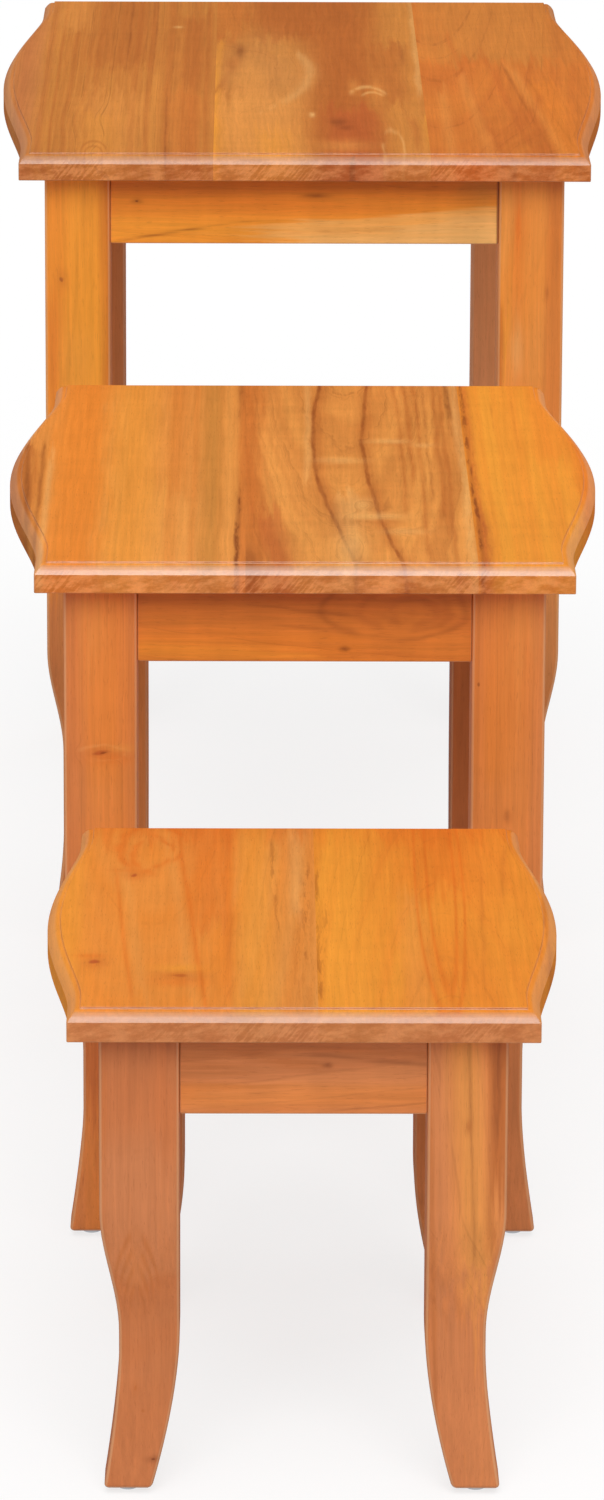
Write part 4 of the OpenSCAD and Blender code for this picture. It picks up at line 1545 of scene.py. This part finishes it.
# The camera stands where the photograph was taken from, worked out from the tables in it
CAMERA_PLACE = Vector((-36.1, -4567.3, 1442.7)) * MM
CAMERA_PITCH = math.radians(15.196)
CAMERA_YAW = math.radians(0.429)
CAMERA_ROLL = math.radians(0.229)
SENSOR = 36.0
# In metres: how far the camera sees, and from the middle of the floor to its edge
SIGHT = 60.0
FLOOR_HALF = 14.0
# Power of a distant light of strength 1, which lights a white face to half of full white
SUN_POWER = math.pi / 2


def seen_ray(desk):
    """1 for rays from the camera, from gloss and through glass, and 0 for those that light."""
    path = desk.node("ShaderNodeLightPath").outputs
    straight = desk.calc("MAXIMUM", path["Is Camera Ray"], path["Is Glossy Ray"])
    return desk.calc("MAXIMUM", straight, path["Is Transmission Ray"])


def floor_material(settings):
    """A pale floor that is seen as white outside the tables' shadows."""
    material, desk = new_material("Pale floor")
    share = settings.floor_lit
    bounce = desk.node("ShaderNodeBsdfDiffuse", {"Color": tuple(settings.floor)})
    lit = desk.node("ShaderNodeBsdfDiffuse", {"Color": (share, share, share, 1.0)})
    glow = desk.node("ShaderNodeEmission", {"Color": WHITE, "Strength": 1.0 - share})
    seen = desk.node("ShaderNodeAddShader")
    desk.feed(seen.inputs[0], lit.outputs["BSDF"])
    desk.feed(seen.inputs[1], glow.outputs["Emission"])
    both = desk.node("ShaderNodeMixShader", {"Fac": seen_ray(desk)})
    desk.feed(both.inputs[1], bounce.outputs["BSDF"])
    desk.feed(both.inputs[2], seen.outputs["Shader"])
    desk.node("ShaderNodeOutputMaterial", {"Surface": both.outputs["Shader"]})
    return material


def add_sun(name, strength, height_angle, turn, spread):
    """A soft distant light at an angle above the floor, turned round from the front of the row."""
    light = bpy.data.lights.new(name, "SUN")
    light.energy = strength * SUN_POWER
    light.angle = math.radians(spread)
    lamp = bpy.data.objects.new(name, light)
    lamp.rotation_euler = (math.radians(90 - height_angle), 0, math.radians(turn))
    bpy.context.scene.collection.objects.link(lamp)


def white_surroundings(fill):
    """Surroundings that light evenly and are seen as white."""
    world = bpy.data.worlds.new("White surroundings")
    world.use_nodes = True
    world.node_tree.nodes.clear()
    desk = Desk(world.node_tree)
    strength = desk.node("ShaderNodeMapRange", {
        "Value": seen_ray(desk), "To Min": fill, "To Max": 1.0}).outputs["Result"]
    sky = desk.node("ShaderNodeBackground", {"Color": WHITE, "Strength": strength})
    desk.node("ShaderNodeOutputWorld", {"Surface": sky.outputs["Background"]})
    return world


def add_camera(lens):
    camera = bpy.data.cameras.new("camera")
    camera.lens = lens
    camera.sensor_width = SENSOR
    camera.clip_end = SIGHT
    view = bpy.data.objects.new("camera", camera)
    view.matrix_world = (
        Matrix.Translation(CAMERA_PLACE)
        @ Matrix.Rotation(-CAMERA_YAW, 4, "Z")
        @ Matrix.Rotation(math.pi / 2 - CAMERA_PITCH, 4, "X")
        @ Matrix.Rotation(CAMERA_ROLL, 4, "Z"))
    bpy.context.scene.collection.objects.link(view)
    return view


class NEST_OT_stage(bpy.types.Operator):
    """Add the floor, the lights, the white surroundings and the camera"""
    bl_idname = "nest.stage"
    bl_label = "Set the Stage"

    def execute(self, context):
        scene = context.scene
        settings = scene.nest_stage
        floor = add_plane("floor", Vector((-FLOOR_HALF, -FLOOR_HALF)),
                          Vector((FLOOR_HALF, FLOOR_HALF)), 0.0)
        floor.data.materials.append(floor_material(settings))
        scene.world = white_surroundings(settings.fill)
        add_sun("key", settings.key, height_angle=42, turn=0, spread=46)
        add_sun("high", settings.high, height_angle=66, turn=0, spread=50)
        add_sun("back", settings.back, height_angle=48, turn=165, spread=60)
        bpy.context.scene.camera = add_camera(settings.lens)
        scene.view_settings.view_transform = "Standard"
        return {"FINISHED"}


class NEST_PT_panel(bpy.types.Panel):
    """Tools that build the nest of tables"""
    bl_label = "Nest of Tables"
    bl_idname = "NEST_PT_panel"
    bl_space_type = "VIEW_3D"
    bl_region_type = "UI"
    bl_category = "Nest"

    def draw(self, context):
        for operator in OPERATORS:
            self.layout.operator(operator.bl_idname)
        for group in SETTINGS:
            settings = getattr(context.scene, group)
            for name in type(settings).__annotations__:
                self.layout.prop(settings, name)


SETTINGS = {
    "nest_tops": TopSizes,
    "nest_legs": LegSizes,
    "nest_fittings": FittingSizes,
    "nest_colours": WoodColours,
    "nest_stage": StageSettings,
}
OPERATORS = (NEST_OT_finishes, NEST_OT_tops, NEST_OT_legs, NEST_OT_aprons, NEST_OT_glides,
             NEST_OT_joinery, NEST_OT_stage)


def register():
    for name, group in SETTINGS.items():
        bpy.utils.register_class(group)
        setattr(bpy.types.Scene, name, PointerProperty(type=group))
    for operator in OPERATORS:
        bpy.utils.register_class(operator)
    bpy.utils.register_class(NEST_PT_panel)


def unregister():
    bpy.utils.unregister_class(NEST_PT_panel)
    for operator in reversed(OPERATORS):
        bpy.utils.unregister_class(operator)
    for name, group in reversed(SETTINGS.items()):
        delattr(bpy.types.Scene, name)
        bpy.utils.unregister_class(group)


def main():
    register()
    bpy.ops.nest.finishes()
    bpy.ops.nest.tops()
    bpy.ops.nest.legs()
    bpy.ops.nest.aprons()
    bpy.ops.nest.glides()
    bpy.ops.nest.joinery()
    bpy.ops.nest.stage()


if __name__ == "__main__":
    main()
